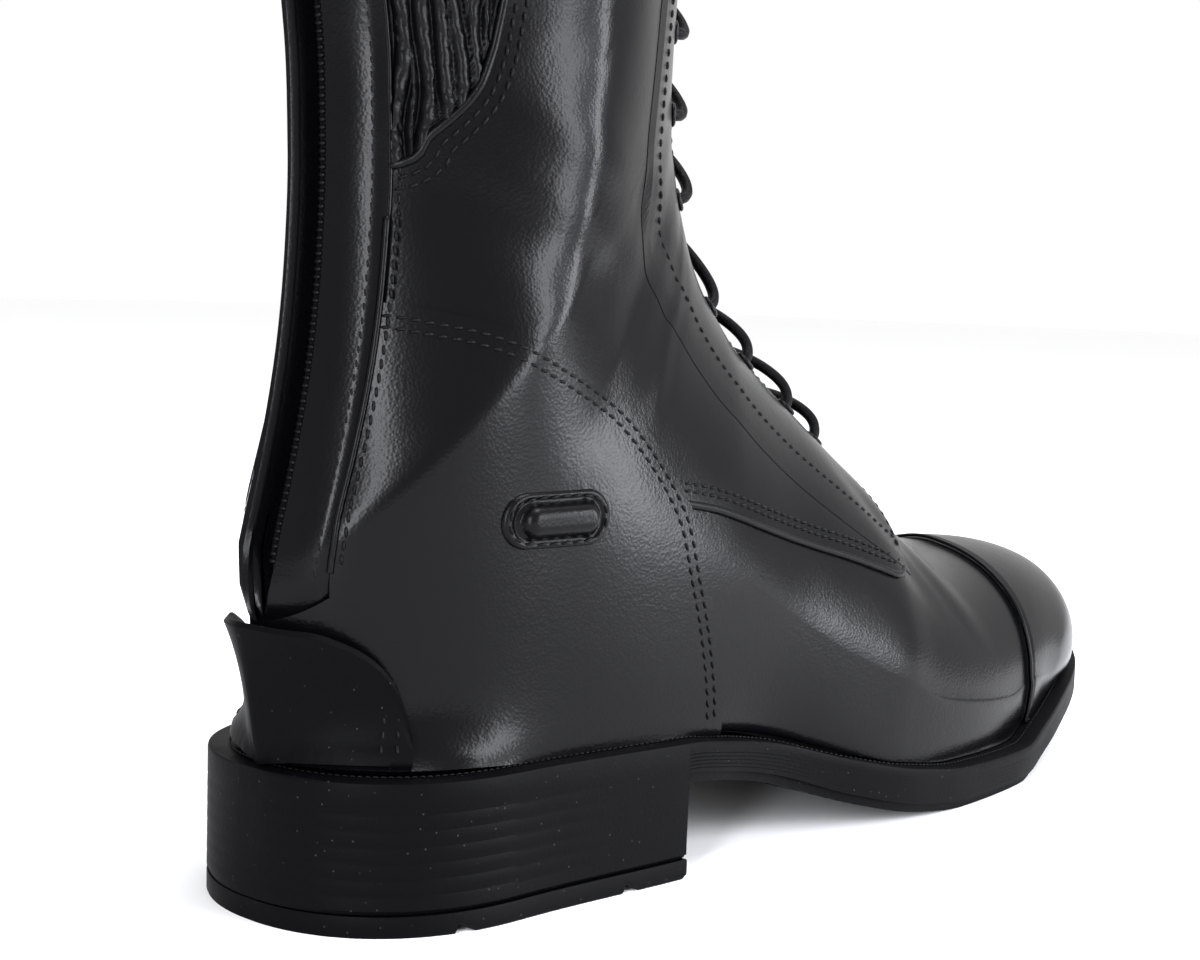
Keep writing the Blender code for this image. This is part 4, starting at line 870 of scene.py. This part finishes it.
def beside(line, inset):
    """Side-view line moved sideways, to the left of its run."""
    run = np.gradient(line, axis=0)
    run /= np.linalg.norm(run, axis=1)[:, None]
    return line + np.stack([-run[:, 1], run[:, 0]], axis=1) * inset


def from_side(x, z, side):
    """Point and normal of the last where a line across the boot meets its outer or inner side."""
    hit = last_tree.ray_cast(Vector((x, side * 0.2, z)), Vector((0, -side, 0)))[0]
    if hit is None:
        return None
    return np.array(hit), np.array(last_normal(hit))


def draw_on(line, side, lift=0.0):
    """Side-view line laid on the leather of one side, as points and normals."""
    found = [from_side(x, z, side) for x, z in line]
    found = [f for f in found if f is not None]
    points = np.array([f[0] for f in found])
    normals = np.array([f[1] for f in found])
    return points + normals * lift, normals


def cutter(outline, y_low, y_high):
    """Block with a side-view outline, run across the boot."""
    count = len(outline)
    verts = [(x, y_low, z) for x, z in outline] + [(x, y_high, z) for x, z in outline]
    faces = [list(range(count)), list(range(2 * count - 1, count - 1, -1))]
    faces += [[k, k + count, (k + 1) % count + count, (k + 1) % count] for k in range(count)]
    block = build("cutter", verts, faces, None)
    turned = sum(outline[k - 1][0] * outline[k][1] - outline[k][0] * outline[k - 1][1] for k in range(count))
    if turned < 0:
        block.data.flip_normals()
    return block


def settle(piece):
    """Make a piece's modifiers part of its mesh."""
    cooked = bpy.data.meshes.new_from_object(piece.evaluated_get(bpy.context.evaluated_depsgraph_get()))
    piece.modifiers.clear()
    piece.data = cooked
    return piece


def trim(piece, outline, keep, y_low=-0.2, y_high=0.2, bevel=0.0004):
    """Cut a layer along a side-view outline, and round the cut edge."""
    block = cutter(outline, y_low, y_high)
    cut = piece.modifiers.new("cut", "BOOLEAN")
    cut.object = block
    cut.operation = "INTERSECT" if keep else "DIFFERENCE"
    cut.solver = "EXACT"
    settle(piece)
    bpy.data.objects.remove(block)
    if bevel:
        soften(piece, bevel)
    return piece


def soften(piece, width):
    edge = piece.modifiers.new("edge", "BEVEL")
    edge.width = width
    edge.segments = 2
    edge.limit_method = "ANGLE"
    edge.angle_limit = math.radians(55)
    edge.use_clamp_overlap = True
    settle(piece)


quarter_line = seam_line(QUARTER_SEAM)
counter_line = seam_line(COUNTER_SEAM)
gusset_line = seam_line(GUSSET_EDGE)
gusset_top = gusset_line[-1][1]
quarters = layer("quarters", [(7, LAST_ROW, -EDGE, EDGE)], -VAMP_STEP - 0.0002, 0.0, boot_leather,
                 throat)
seat_height = ledge_height(0.0)
behind_counter = counter_line[counter_line[:, 1] < seat_height + 0.40 * INSTEP_RISE] - (0.012, 0.0)
lower = quarter_line[quarter_line[:, 0] > behind_counter[-1][0]]
vamp_outline = ([(-0.12, -0.02), (-0.12, behind_counter[-1][1]), tuple(behind_counter[-1])]
                + [tuple(p) for p in lower] + [(0.30, lower[-1][1]), (0.30, -0.02)])
trim(quarters, vamp_outline, False, bevel=0)
gusset_outline = [tuple(p) for p in gusset_line] + [(gusset_line[0][0], gusset_top)]
trim(quarters, gusset_outline, False, -0.2, -0.0045, bevel=0)
fasten(polish(quarters))

quarter_edges = []
quarter_threads = []
counter_front = counter_line[counter_line[:, 1] < seat_height + 0.05][-1][0] - 0.004
shown_quarter = quarter_line[(quarter_line[:, 0] > counter_front) & (quarter_line[:, 1] < seat_height + 0.068)]
for side in (-1, 1):
    quarter_edges.append(draw_on(beside(shown_quarter, 0.0004), side, -0.0004))
    for inset in QUARTER_ROWS:
        quarter_threads.append(draw_on(beside(shown_quarter[:-8], inset), side, 0.0001))
fasten(tube("quarter_rolled_edge", quarter_edges, ROLL_HALF, edge_leather, 8, 0.9))
sew("quarter_stitches", quarter_threads)

# Tongue: a single soft piece of the same leather behind the throat, sewn in below it and seen
# between the edges of the facing.
tongue = layer("tongue", [(10, 31, -2, 2)], -WALL - 0.0019, -WALL - 0.0003, boot_leather)
fasten(polish(tongue), "tongue")

# Toe cap: a second layer of leather drawn over the front of the vamp and sewn down along a plain
# curved seam with a folded edge.
TOE_SEAM_ROW = 6
CAP_STEP = 0.0011


def cap_height(rows, columns):
    edge = np.clip((TOE_SEAM_ROW - rows) / 0.12, 0, 1)
    return 0.0003 - VAMP_STEP + CAP_STEP * (1 - (1 - edge) ** 2) ** 0.5


toe_cap = layer("toe_cap", [(0, TOE_SEAM_ROW, -EDGE, EDGE)], -VAMP_STEP - 0.0001, cap_height, boot_leather)
fasten(polish(toe_cap), "toe_cap")
cap_columns = np.linspace(-EDGE + 0.15, EDGE - 0.15, 160)
sew("toe_cap_stitches", [on_last(TOE_SEAM_ROW - 0.26, cap_columns, 0.0002)], 0.0, 0.6)
fasten(tube("toe_cap_edge", [on_last(TOE_SEAM_ROW - 0.03, cap_columns, 0.0001)], 0.0006, edge_leather,
            8, 0.8))

# Counter: the stiff heel quarter that wraps the back of the foot, sewn on with two rows of stitches
# just inside its curved front edge.
COUNTER_LIFT = 0.0014
COUNTER_ROWS = (0.0024, 0.0046)
counter = layer("counter", [(13, ZIP_ROW, -EDGE, EDGE), (ZIP_ROW, 28, -10, 10)], -0.0002, COUNTER_LIFT,
                boot_leather, [(13, 28, -4, 4)])
counter_outline = [tuple(p) for p in counter_line] + [(-0.12, counter_line[-1][1]), (-0.12, -0.02),
                                                     (counter_line[0][0], -0.02)]
trim(counter, counter_outline, True, bevel=0.0005)
fasten(polish(counter), "counter")
counter_threads = []
shown_counter = counter_line[counter_line[:, 1] > ledge_under(counter_line[:, 0]) + 0.003]
for side in (-1, 1):
    for inset in COUNTER_ROWS:
        line = beside(shown_counter, inset)
        line = line[line[:, 0] > -0.0235]
        counter_threads.append(draw_on(line, side, COUNTER_LIFT))
sew("counter_stitches", counter_threads)

# Facing: the smooth stay round the throat that carries the eyelets, closed across the foot below
# the throat and across the leg above it, with a row of stitches inside each edge.
FACING_LIFT = 0.0013


def facing_height(rows, columns):
    inner = np.where((rows > 11) & (rows < 30), np.clip((np.abs(columns) - 1) / 0.25, 0, 1), 1.0)
    side = np.clip((4 - np.abs(columns)) / 1.0, 0, 1)
    ends = np.clip(np.minimum(rows - 10, 32 - rows) / 0.25, 0, 1)
    edge = np.minimum(np.minimum(inner, side), ends)
    return 0.0001 + (FACING_LIFT - 0.0001) * (1 - (1 - edge) ** 2) ** 0.5


facing = layer("facing", [(10, 32, -4, 4)], -0.0002, facing_height, boot_leather, throat)
fasten(polish(facing), "facing")
facing_threads = []
for side in (-1, 1):
    facing_threads.append(on_last(np.linspace(10.3, 31.7, 220), side * 3.4, FACING_LIFT - 0.0002))
    facing_threads.append(on_last(np.linspace(11.0, 30.0, 190), side * 1.35, FACING_LIFT))
for row in (10.35, 31.7):
    facing_threads.append(on_last(row, np.linspace(-3.6, 3.6, 60), FACING_LIFT - 0.0002))
sew("facing_stitches", facing_threads)

# Gusset: a panel of leather gathered on elastic, in upright twisted ribs, let into the outer side
# of the leg behind a piped and double-sewn edge.
STAY_COLUMN = 10
RIB_PITCH = 0.0034
RIB_HEIGHT = 0.0022
GUSSET_DEPTH = 0.0013
TWIST_PITCH = 0.0046
PUCKER_PITCH = 0.0029
PIPING_HALF = 0.0009
GUSSET_ROWS = (0.0024, 0.0044)
gusset_leather = dress_leather("gathered_leather", (0.0014, 0.0014, 0.0018), 0.36, 0.00006, 1300.0)


def gusset_surface():
    """Gathered ribs between the strip and the piped edge, twisted a little from rib to rib."""
    low = gusset_line[:, 1].min()
    heights = low + (gusset_top - low) * np.concatenate([np.linspace(0, 0.06, 30), np.linspace(0.062, 1, 250)])
    across = 78
    verts = []
    for i, z in enumerate(heights):
        front = np.interp(z, gusset_line[:, 1], gusset_line[:, 0])
        place = np.interp(z, LAST[:, 2 * FINE, 2][22 * FINE:], np.arange(22 * FINE, ROWS) / FINE)
        back = on_last(place, -STAY_COLUMN)[0][0]
        front = max(front, back + 0.0002)
        for j in range(across + 1):
            u = j / across
            x = back + (front - back) * u
            found = from_side(x, z, -1)
            point, normal = found if found else (np.array((x, 0, z)), np.array((0, -1, 0)))
            girth = (x - back) / RIB_PITCH * 1.12
            number = math.floor(girth)
            phase = girth + (0.28 * math.sin(z * 95 + 1.3 * number) + 0.16 * math.sin(z * 217 + 2.1 * number))
            number = math.floor(phase)
            rib = abs(math.sin(math.pi * phase)) ** 0.7
            twist = math.sin(z * 2 * math.pi / TWIST_PITCH + 2.6 * (phase % 1.0) * 2 + 1.7 * number)
            pucker = math.sin(z * 2 * math.pi / PUCKER_PITCH + 5.0 * number + 4 * (phase % 1.0))
            rim = min(1.0, min(j, across - j) / 5.0, i / 5.0)
            height = -GUSSET_DEPTH + rim * (RIB_HEIGHT * rib + 0.00034 * twist * rib + 0.00022 * pucker * rib)
            verts.append(point + normal * height)
    wide = across + 1
    faces = [(i * wide + j, i * wide + j + 1, (i + 1) * wide + j + 1, (i + 1) * wide + j)
             for i in range(len(heights) - 1) for j in range(across)]
    return verts, faces


gusset_verts, gusset_faces = gusset_surface()
fasten(build("gusset_ribs", gusset_verts, gusset_faces, gusset_leather, 0), "gusset")
piping_line = gusset_line[gusset_line[:, 0] > -0.028]
fasten(tube("gusset_piping", [draw_on(piping_line, -1, 0.0002)], PIPING_HALF, edge_leather))
sew("gusset_stitches", [draw_on(beside(piping_line, -inset), -1, 0.0001) for inset in GUSSET_ROWS])

# Backstays: a leather band along each side of the zip, turned over towards the zip in a rolled
# edge. The inner one carries a guard, folded in two thin ridges, that leans over the zip.
STAY_LIFT = 0.0019
RIDGE_HEIGHT = 0.0013


def stay_height(rows, columns):
    """Height of a band over the leg, rolled at the zip and thin at the seam."""
    t = (EDGE - np.abs(columns)) / (EDGE - STAY_COLUMN)
    roll = np.clip(t / 0.16, 0, 1)
    seam = np.clip((1 - t) / 0.10, 0, 1)
    crown = 0.0005 * np.exp(-((t - 0.10) / 0.10) ** 2) + 0.0003 * np.sin(np.pi * t)
    foot = np.clip((rows - ZIP_ROW) / 0.3, 0, 1)
    rolled = (STAY_LIFT - 0.0002) * (1 - (1 - roll) ** 2) ** 0.5 * (0.55 + 0.45 * seam)
    return (0.0002 + rolled + crown) * (0.3 + 0.7 * foot)


for name, columns, node in (("backstay_outer_band", (-EDGE, -STAY_COLUMN), "backstay_outer"),
                            ("backstay_inner_band", (STAY_COLUMN, EDGE), "backstay_inner")):
    fasten(layer(name, [(ZIP_ROW, LAST_ROW, *columns)], -0.0002, stay_height, boot_leather), node)


def guard_height(rows, columns):
    t = EDGE - np.abs(columns)
    ridge = np.maximum(np.exp(-((t - 0.16) / 0.13) ** 2), np.exp(-((t - 0.58) / 0.15) ** 2))
    return STAY_LIFT + 0.0002 + RIDGE_HEIGHT * ridge * np.clip((rows - ZIP_ROW) / 0.4, 0, 1)


fasten(layer("zip_guard_fold", [(ZIP_ROW, LAST_ROW, EDGE - 1, EDGE)], STAY_LIFT - 0.0004, guard_height,
             edge_leather), "zip_guard")
COUNTER_TOP_ROW = 27.3
stay_rows = np.linspace(ZIP_ROW + 0.4, LAST_ROW - 0.1, 420)
over_counter = np.where(stay_rows < COUNTER_TOP_ROW, COUNTER_LIFT, 0.0)
stay_threads = []
for side in (-1, 1):
    stay_threads.append(on_last(stay_rows, side * (STAY_COLUMN + 0.36), STAY_LIFT - 0.0001))
    stay_threads.append(on_last(stay_rows, side * (STAY_COLUMN - 0.22), over_counter + 0.0001))
sew("backstay_stitches", stay_threads)
fasten(tube("backstay_seam", [on_last(stay_rows, side * (STAY_COLUMN - 0.01), over_counter + 0.0004)
                              for side in (-1, 1)], 0.0006, edge_leather, 8, 0.8))

# Zip: a woven tape sewn behind the slit, a closed chain of nylon coils on it, and a slider parked
# at the top of the leg with a swinging pull.
zip_tape_cloth, tape_shader, tape_nodes, tape_links = bare_finish("zip_tape_cloth", (0.002, 0.002, 0.0024), 0.85)
weave = tape_nodes.new("ShaderNodeTexWave")
weave.bands_direction = "Z"
weave.inputs["Scale"].default_value = 420.0
weave_place = tape_nodes.new("ShaderNodeTexCoord")
tape_links.new(weave_place.outputs["Object"], weave.inputs["Vector"])
raise_bump(tape_nodes, tape_links, tape_shader, weave.outputs["Fac"], 0.0001)
nylon, nylon_shader, nylon_nodes, nylon_links = bare_finish("zip_nylon", (0.003, 0.003, 0.0034), 0.35)
nylon_skin = link_noise(nylon_nodes, nylon_links, 2200.0)
raise_bump(nylon_nodes, nylon_links, nylon_shader, nylon_skin.outputs["Fac"], 0.00003)
zip_rows = np.linspace(ZIP_ROW, LAST_ROW, 120)
TAPE_COLUMNS = (10.6, 11.4, 12.0, -12.0, -11.4, -10.6)
tape_verts = []
for depth in (WALL + 0.0003, WALL + 0.0012):
    for row in zip_rows:
        tape_verts += [on_last(row, column, -depth)[0] for column in TAPE_COLUMNS]
tape_faces = []
half_count = len(tape_verts) // 2
for r in range(len(zip_rows) - 1):
    for k in range(5):
        ring = [r * 6 + k, r * 6 + k + 1, (r + 1) * 6 + k + 1, (r + 1) * 6 + k]
        tape_faces += [ring, [half_count + n for n in reversed(ring)]]
    for k in (0, 5):
        ring = [r * 6 + k, (r + 1) * 6 + k, half_count + (r + 1) * 6 + k, half_count + r * 6 + k]
        tape_faces.append(ring if k == 0 else ring[::-1])
for r in (0, len(zip_rows) - 1):
    for k in range(5):
        ring = [r * 6 + k + 1, r * 6 + k, half_count + r * 6 + k, half_count + r * 6 + k + 1]
        tape_faces.append(ring if r == 0 else ring[::-1])
fasten(build("zip_tape_band", tape_verts, tape_faces, zip_tape_cloth), "zip_tape")

COIL_PITCH = 0.0015
back_rows = np.linspace(ZIP_ROW + 0.75, LAST_ROW, 600)
back_line = (on_last(back_rows, -EDGE)[0] + on_last(back_rows, EDGE)[0]) / 2
back_line[:, 1] = 0.0
back_out = on_last(back_rows, -EDGE)[1] + on_last(back_rows, EDGE)[1]
back_out[:, 1] = 0.0
back_out /= np.linalg.norm(back_out, axis=1)[:, None]
back_run = np.concatenate([[0], np.cumsum(np.linalg.norm(np.diff(back_line, axis=0), axis=1))])
coil_verts = []
coil_faces = []
bead = []
for s in (-1, -0.6, 0, 0.6, 1):
    for k in range(6):
        r = math.sqrt(max(1 - s * s, 0.02))
        bead.append((s, r * math.cos(math.pi * k / 3), r * math.sin(math.pi * k / 3)))
bead = np.array(bead) * (0.00105, 0.00052, 0.0007)
for number in range(int(back_run[-1] / COIL_PITCH)):
    for hand in (-1, 1):
        s = (number + (0.5 if hand > 0 else 0.0)) * COIL_PITCH + 0.0006
        spot = np.array([np.interp(s, back_run, back_line[:, n]) for n in range(3)])
        out = np.array([np.interp(s, back_run, back_out[:, n]) for n in range(3)])
        run = np.array((out[2], 0.0, -out[0]))
        side_way = np.array((0.0, 1.0, 0.0))
        base = 30 * len(coil_verts)
        centre = spot + out * (-WALL + 0.0010) + side_way * hand * 0.00085
        coil_verts.append(centre + bead[:, :1] * side_way + bead[:, 1:2] * run + bead[:, 2:] * out)
        coil_faces += [tuple(base + r * 6 + k % 6 for r, k in ((a, b), (a, b + 1), (a + 1, b + 1), (a + 1, b)))
                       for a in range(4) for b in range(6)]
        coil_faces += [tuple(base + k for k in reversed(range(6))), tuple(base + 24 + k for k in range(6))]
fasten(build("zip_coils", np.concatenate(coil_verts), coil_faces, nylon, 0), "zip_chain")

gunmetal, gun_shader, gun_nodes, gun_links = bare_finish("gunmetal", (0.10, 0.10, 0.11), 0.28, 1.0)
gun_wear = link_noise(gun_nodes, gun_links, 500.0)
gun_dulled = spread(gun_nodes, gun_links, gun_wear.outputs["Fac"], 0.2, 0.36)
gun_links.new(gun_dulled, gun_shader.inputs["Roughness"])
for node in ("zip_slider", "zip_pull"):
    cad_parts[node].data.materials.clear()
    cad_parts[node].data.materials.append(gunmetal)

# Spur rest: a tough rubber shield round the back of the heel, sewn at its front edges, whose lip
# stands off at the top to carry a spur.
REST_LIFT = 0.0018
rest_rubber = sole_rubber.copy()
rest_rubber.name = "rest_rubber"


REST_AXIS = -0.002
REST_FACE = REST_LIFT + 0.0014
REST_THICKNESS = 0.0016
LIP = 0.0034
# Top edge of the shield: turn from straight back, and height as a share of the instep rise.
REST_EDGE = ((0.0, 0.229), (0.30, 0.226), (0.50, 0.205), (0.66, 0.172), (0.76, 0.136), (0.84, 0.085),
             (0.88, 0.045))


def around_heel(turn, z):
    """Point and normal of the last where a level line at a turn from straight back meets the heel."""
    ray = Vector((math.cos(turn), math.sin(turn), 0.0))
    hit = last_tree.ray_cast(Vector((REST_AXIS, 0.0, z)) - ray * 0.2, ray)[0]
    return np.array(hit), np.array(last_normal(hit))


def rest_ring(turn):
    """Outline of the shield in one upright cut, up its face, over its lip and down its back."""
    foot = ledge_under(around_heel(turn, seat_height + 0.01)[0][0]) + SEAT
    top = seat_height + smooth_along(np.array(REST_EDGE), 1, abs(turn)) * INSTEP_RISE
    proud = LIP * math.exp(-(turn / 0.75) ** 2)
    face, back = [], []
    for share in np.linspace(0, 1, 14):
        z = foot + (top - foot) * share
        point, normal = around_heel(turn, max(z, foot + 0.0012))
        point[2] = z
        lift = REST_FACE + proud * share ** 3
        face.append(point + normal * lift)
        back.append(point + normal * (lift - REST_THICKNESS))
    crest = (face[-1] + back[-1]) / 2 + np.array((0.0, 0.0, 0.0009))
    return [tuple(p) for p in face + [crest] + back[::-1]]


rest_turns = np.linspace(-REST_EDGE[-1][0], REST_EDGE[-1][0], 121)
fasten(loft("spur_rest_shield", [rest_ring(turn) for turn in rest_turns], rest_rubber, 50), "spur_rest")
REST_THREAD_TURNS = (0.70, 0.79)
rest_threads = []
for side in (-1, 1):
    for turn in REST_THREAD_TURNS:
        thread_top = seat_height + 0.0145 - 0.03 * (turn - REST_THREAD_TURNS[0])
        found = [around_heel(side * turn, z) for z in np.linspace(seat_height + 0.002, thread_top, 30)]
        normals = np.array([f[1] for f in found])
        rest_threads.append((np.array([f[0] for f in found]) + normals * REST_FACE, normals))
sew("spur_rest_stitches", rest_threads)

# Keeper: a small pad sewn to the outer side of the counter, with a moulded bar that keeps the spur
# strap from sliding.
PAD = (0.0258, 0.0112)
BAR = (0.0172, 0.0052)
TRENCH = (0.0205, 0.0080)
KEEPER_CENTRE = (0.170 * SOLE_LENGTH - HEEL_CENTRE, seat_height + 0.398 * INSTEP_RISE)


def stadium(length, height, u, v):
    """Share of the way out from a long round-ended shape's middle line; 1 on its edge."""
    straight = (length - height) / 2
    return math.hypot(max(abs(u) - straight, 0.0), v) / (height / 2)


def keeper_relief(u, v):
    """Height of the pad with its pressed trench and raised bar."""
    pad = stadium(*PAD, u, v)
    bar = stadium(*BAR, u, v)
    height = 0.0011 * (1 - max(min((pad - 0.80) / 0.2, 1.0), 0.0) ** 2) ** 0.5 if pad < 1 else 0.0
    trench = 0.0005 * math.exp(-((stadium(*TRENCH, u, v) - 1.0) / 0.16) ** 2)
    hump = 0.0024 * max(1 - max(bar - 0.25, 0.0) ** 2 / 0.9, 0.0) ** 0.5
    return height - trench + hump


keeper_verts = []
us = np.linspace(-0.0131, 0.0131, 111)
vs = np.linspace(-0.0058, 0.0058, 51)
for v in vs:
    for u in us:
        point, normal = from_side(KEEPER_CENTRE[0] + u, KEEPER_CENTRE[1] + v, -1)
        keeper_verts.append(point + normal * (COUNTER_LIFT - 0.0001 + keeper_relief(u, v)))
keeper_faces = [(i * 111 + j, i * 111 + j + 1, (i + 1) * 111 + j + 1, (i + 1) * 111 + j)
                for i in range(50) for j in range(110)
                if stadium(*PAD, us[j] / 2 + us[j + 1] / 2, vs[i] / 2 + vs[i + 1] / 2) < 1.0]
fasten(build("spur_keeper", keeper_verts, keeper_faces, edge_leather, 0), "keeper_pad", "keeper_bar")
border = []
for turn in np.linspace(0, 2 * math.pi, 90):
    u = math.copysign(abs(math.cos(turn)) ** 0.55, math.cos(turn)) * 0.0114
    v = math.copysign(abs(math.sin(turn)) ** 0.8, math.sin(turn)) * 0.0046
    border.append((KEEPER_CENTRE[0] + u, KEEPER_CENTRE[1] + v))
sew("keeper_stitches", [draw_on(np.array(border), -1, COUNTER_LIFT + 0.0010)])

# Collar: the top edge of the leg is bound with a strip of thin leather, folded over the edge and
# sewn through with one row.
STRIP_LIFT = 0.0014
ring_columns = np.linspace(-STAY_COLUMN, STAY_COLUMN, 121)
top_points, top_normals = on_last(LAST_ROW, ring_columns)
low_points, low_normals = on_last(LAST_ROW - 1, ring_columns)
rise = np.array((0.0, 0.0, STRIP_LIFT))
binding_rings = []
for top, top_out, low, low_out in zip(top_points, top_normals, low_points, low_normals):
    middle = top - top_out * WALL / 2
    ring = [low + low_out * 0.0003, low + low_out * 0.0012, low + (top - low) * 0.1 + low_out * STRIP_LIFT,
            top + top_out * STRIP_LIFT]
    for k in range(1, 8):
        angle = math.pi * k / 8
        ring.append(middle + top_out * (WALL / 2 + STRIP_LIFT) * math.cos(angle) + rise * math.sin(angle))
    ring += [top - top_out * (WALL + STRIP_LIFT), low - low_out * (WALL + STRIP_LIFT),
             low - low_out * (WALL + 0.0003)]
    binding_rings.append([tuple(p) for p in ring])
fasten(loft("collar_strip", binding_rings, edge_leather, 50), "collar_binding")
sew("collar_stitches", [on_last(LAST_ROW - 0.85, ring_columns, STRIP_LIFT)])

# Eyelets: pairs of short metal tubes, enamelled black, set through the facing up both edges of the
# throat and rolled over on it.
LACE_SECTIONS = (11.35, 12.1, 13.25, 14.55, 17.4, 20.7, 24.0, 26.8, 29.0)
EYELET_SPREAD = 0.0098
RIM_RADIUS = 0.0020
RIM_HALF = 0.0007
black_enamel, enamel_shader, enamel_nodes, enamel_links = bare_finish("black_enamel", (0.006, 0.006, 0.007), 0.3, 0.6)
enamel_wear = link_noise(enamel_nodes, enamel_links, 700.0)
enamel_dulled = spread(enamel_nodes, enamel_links, enamel_wear.outputs["Fac"], 0.22, 0.4)
enamel_links.new(enamel_dulled, enamel_shader.inputs["Roughness"])


def eyelet_spot(section, side):
    """Middle of an eyelet on the leather, its outward normal, and the way up the throat."""
    columns = np.linspace(1.0, 4.0, 200)
    points, normals = on_last(section, side * columns)
    k = int(np.argmin(np.abs(np.abs(points[:, 1]) - EYELET_SPREAD)))
    ahead_point = on_last(section + 0.2, side * columns[k])[0]
    run = ahead_point - points[k]
    return points[k], normals[k], run / np.linalg.norm(run)


for number, section in enumerate(LACE_SECTIONS, start=1):
    for word, side in (("outer", -1), ("inner", 1)):
        spot, out, run = eyelet_spot(section, side)
        wide = np.cross(out, run)
        rim_verts = []
        for k in range(24):
            angle = 2 * math.pi * k / 24
            ray = run * math.cos(angle) + wide * math.sin(angle)
            for n in range(8):
                turn = 2 * math.pi * n / 8
                rim_verts.append(spot + ray * (RIM_RADIUS + RIM_HALF * math.cos(turn))
                                 + out * (FACING_LIFT + 0.0003 + 0.0006 * math.sin(turn)))
        rim_faces = [(k * 8 + n, k * 8 + (n + 1) % 8, (k + 1) % 24 * 8 + (n + 1) % 8, (k + 1) % 24 * 8 + n)
                     for k in range(24) for n in range(8)]
        fasten(build("eyelet_%s_%d_rim" % (word, number), rim_verts, rim_faces, black_enamel, 0),
               "eyelet_%s_%d" % (word, number))


# Lace: one round waxed cord that goes up the throat. Each crossing stands in an arch from an outer
# eyelet to the next inner one, and goes down through both.
LACE_HALF = 0.0013
LACE_ARCH = 0.0072
waxed_cord, cord_shader, cord_nodes, cord_links = bare_finish("waxed_cord", (0.0015, 0.0015, 0.0018), 0.5, 0.0, 0.06)
braid = link_cells(cord_nodes, cord_links, 1600.0)
raise_bump(cord_nodes, cord_links, cord_shader, braid.outputs["Distance"], 0.00012)


def lace_crossing(low_spot, high_spot, arch):
    """Points of the cord up through one eyelet, over the ridge of the tongue and down the other."""
    (start, start_out, _), (end, end_out, _) = low_spot, high_spot
    out = start_out + end_out
    out[1] = 0.0
    out /= np.linalg.norm(out)
    middle = (start + end) / 2
    ridge_spot = on_last(np.linspace(10, 31, 400), 1.0)[0]
    near = ridge_spot[np.argmin(np.linalg.norm(ridge_spot[:, [0, 2]] - middle[[0, 2]], axis=1))]
    ridge = (near - middle) @ out
    points = [start - start_out * 0.004, start - start_out * 0.001, start + start_out * 0.0022]
    for k in range(1, 14):
        turn = math.pi * k / 14
        points.append(middle - (end - start) / 2 * math.cos(turn)
                      + out * (0.0026 + (ridge + arch - 0.0026) * math.sin(turn) ** 0.8))
    return points + [end + end_out * 0.0022, end - end_out * 0.001, end - end_out * 0.004]


for number in range(1, len(LACE_SECTIONS) + 1):
    outer = eyelet_spot(LACE_SECTIONS[number - 1], -1)
    inner = eyelet_spot(LACE_SECTIONS[min(number, len(LACE_SECTIONS) - 1)], 1)
    points = lace_crossing(outer, inner, LACE_ARCH)
    curve = bpy.data.curves.new("lace_%d" % number, "CURVE")
    curve.dimensions = "3D"
    curve.bevel_depth = LACE_HALF
    curve.bevel_resolution = 3
    curve.use_fill_caps = True
    spline = curve.splines.new("NURBS")
    spline.points.add(len(points) - 1)
    spline.order_u = 4
    spline.use_endpoint_u = True
    spline.resolution_u = 3
    for knot, point in zip(spline.points, points):
        knot.co = (*point, 1.0)
    crossing = bpy.data.objects.new("lace_%d" % number, curve)
    bpy.context.scene.collection.objects.link(crossing)
    curve.materials.append(waxed_cord)
    fasten(crossing, "lace_bar_%d" % number)
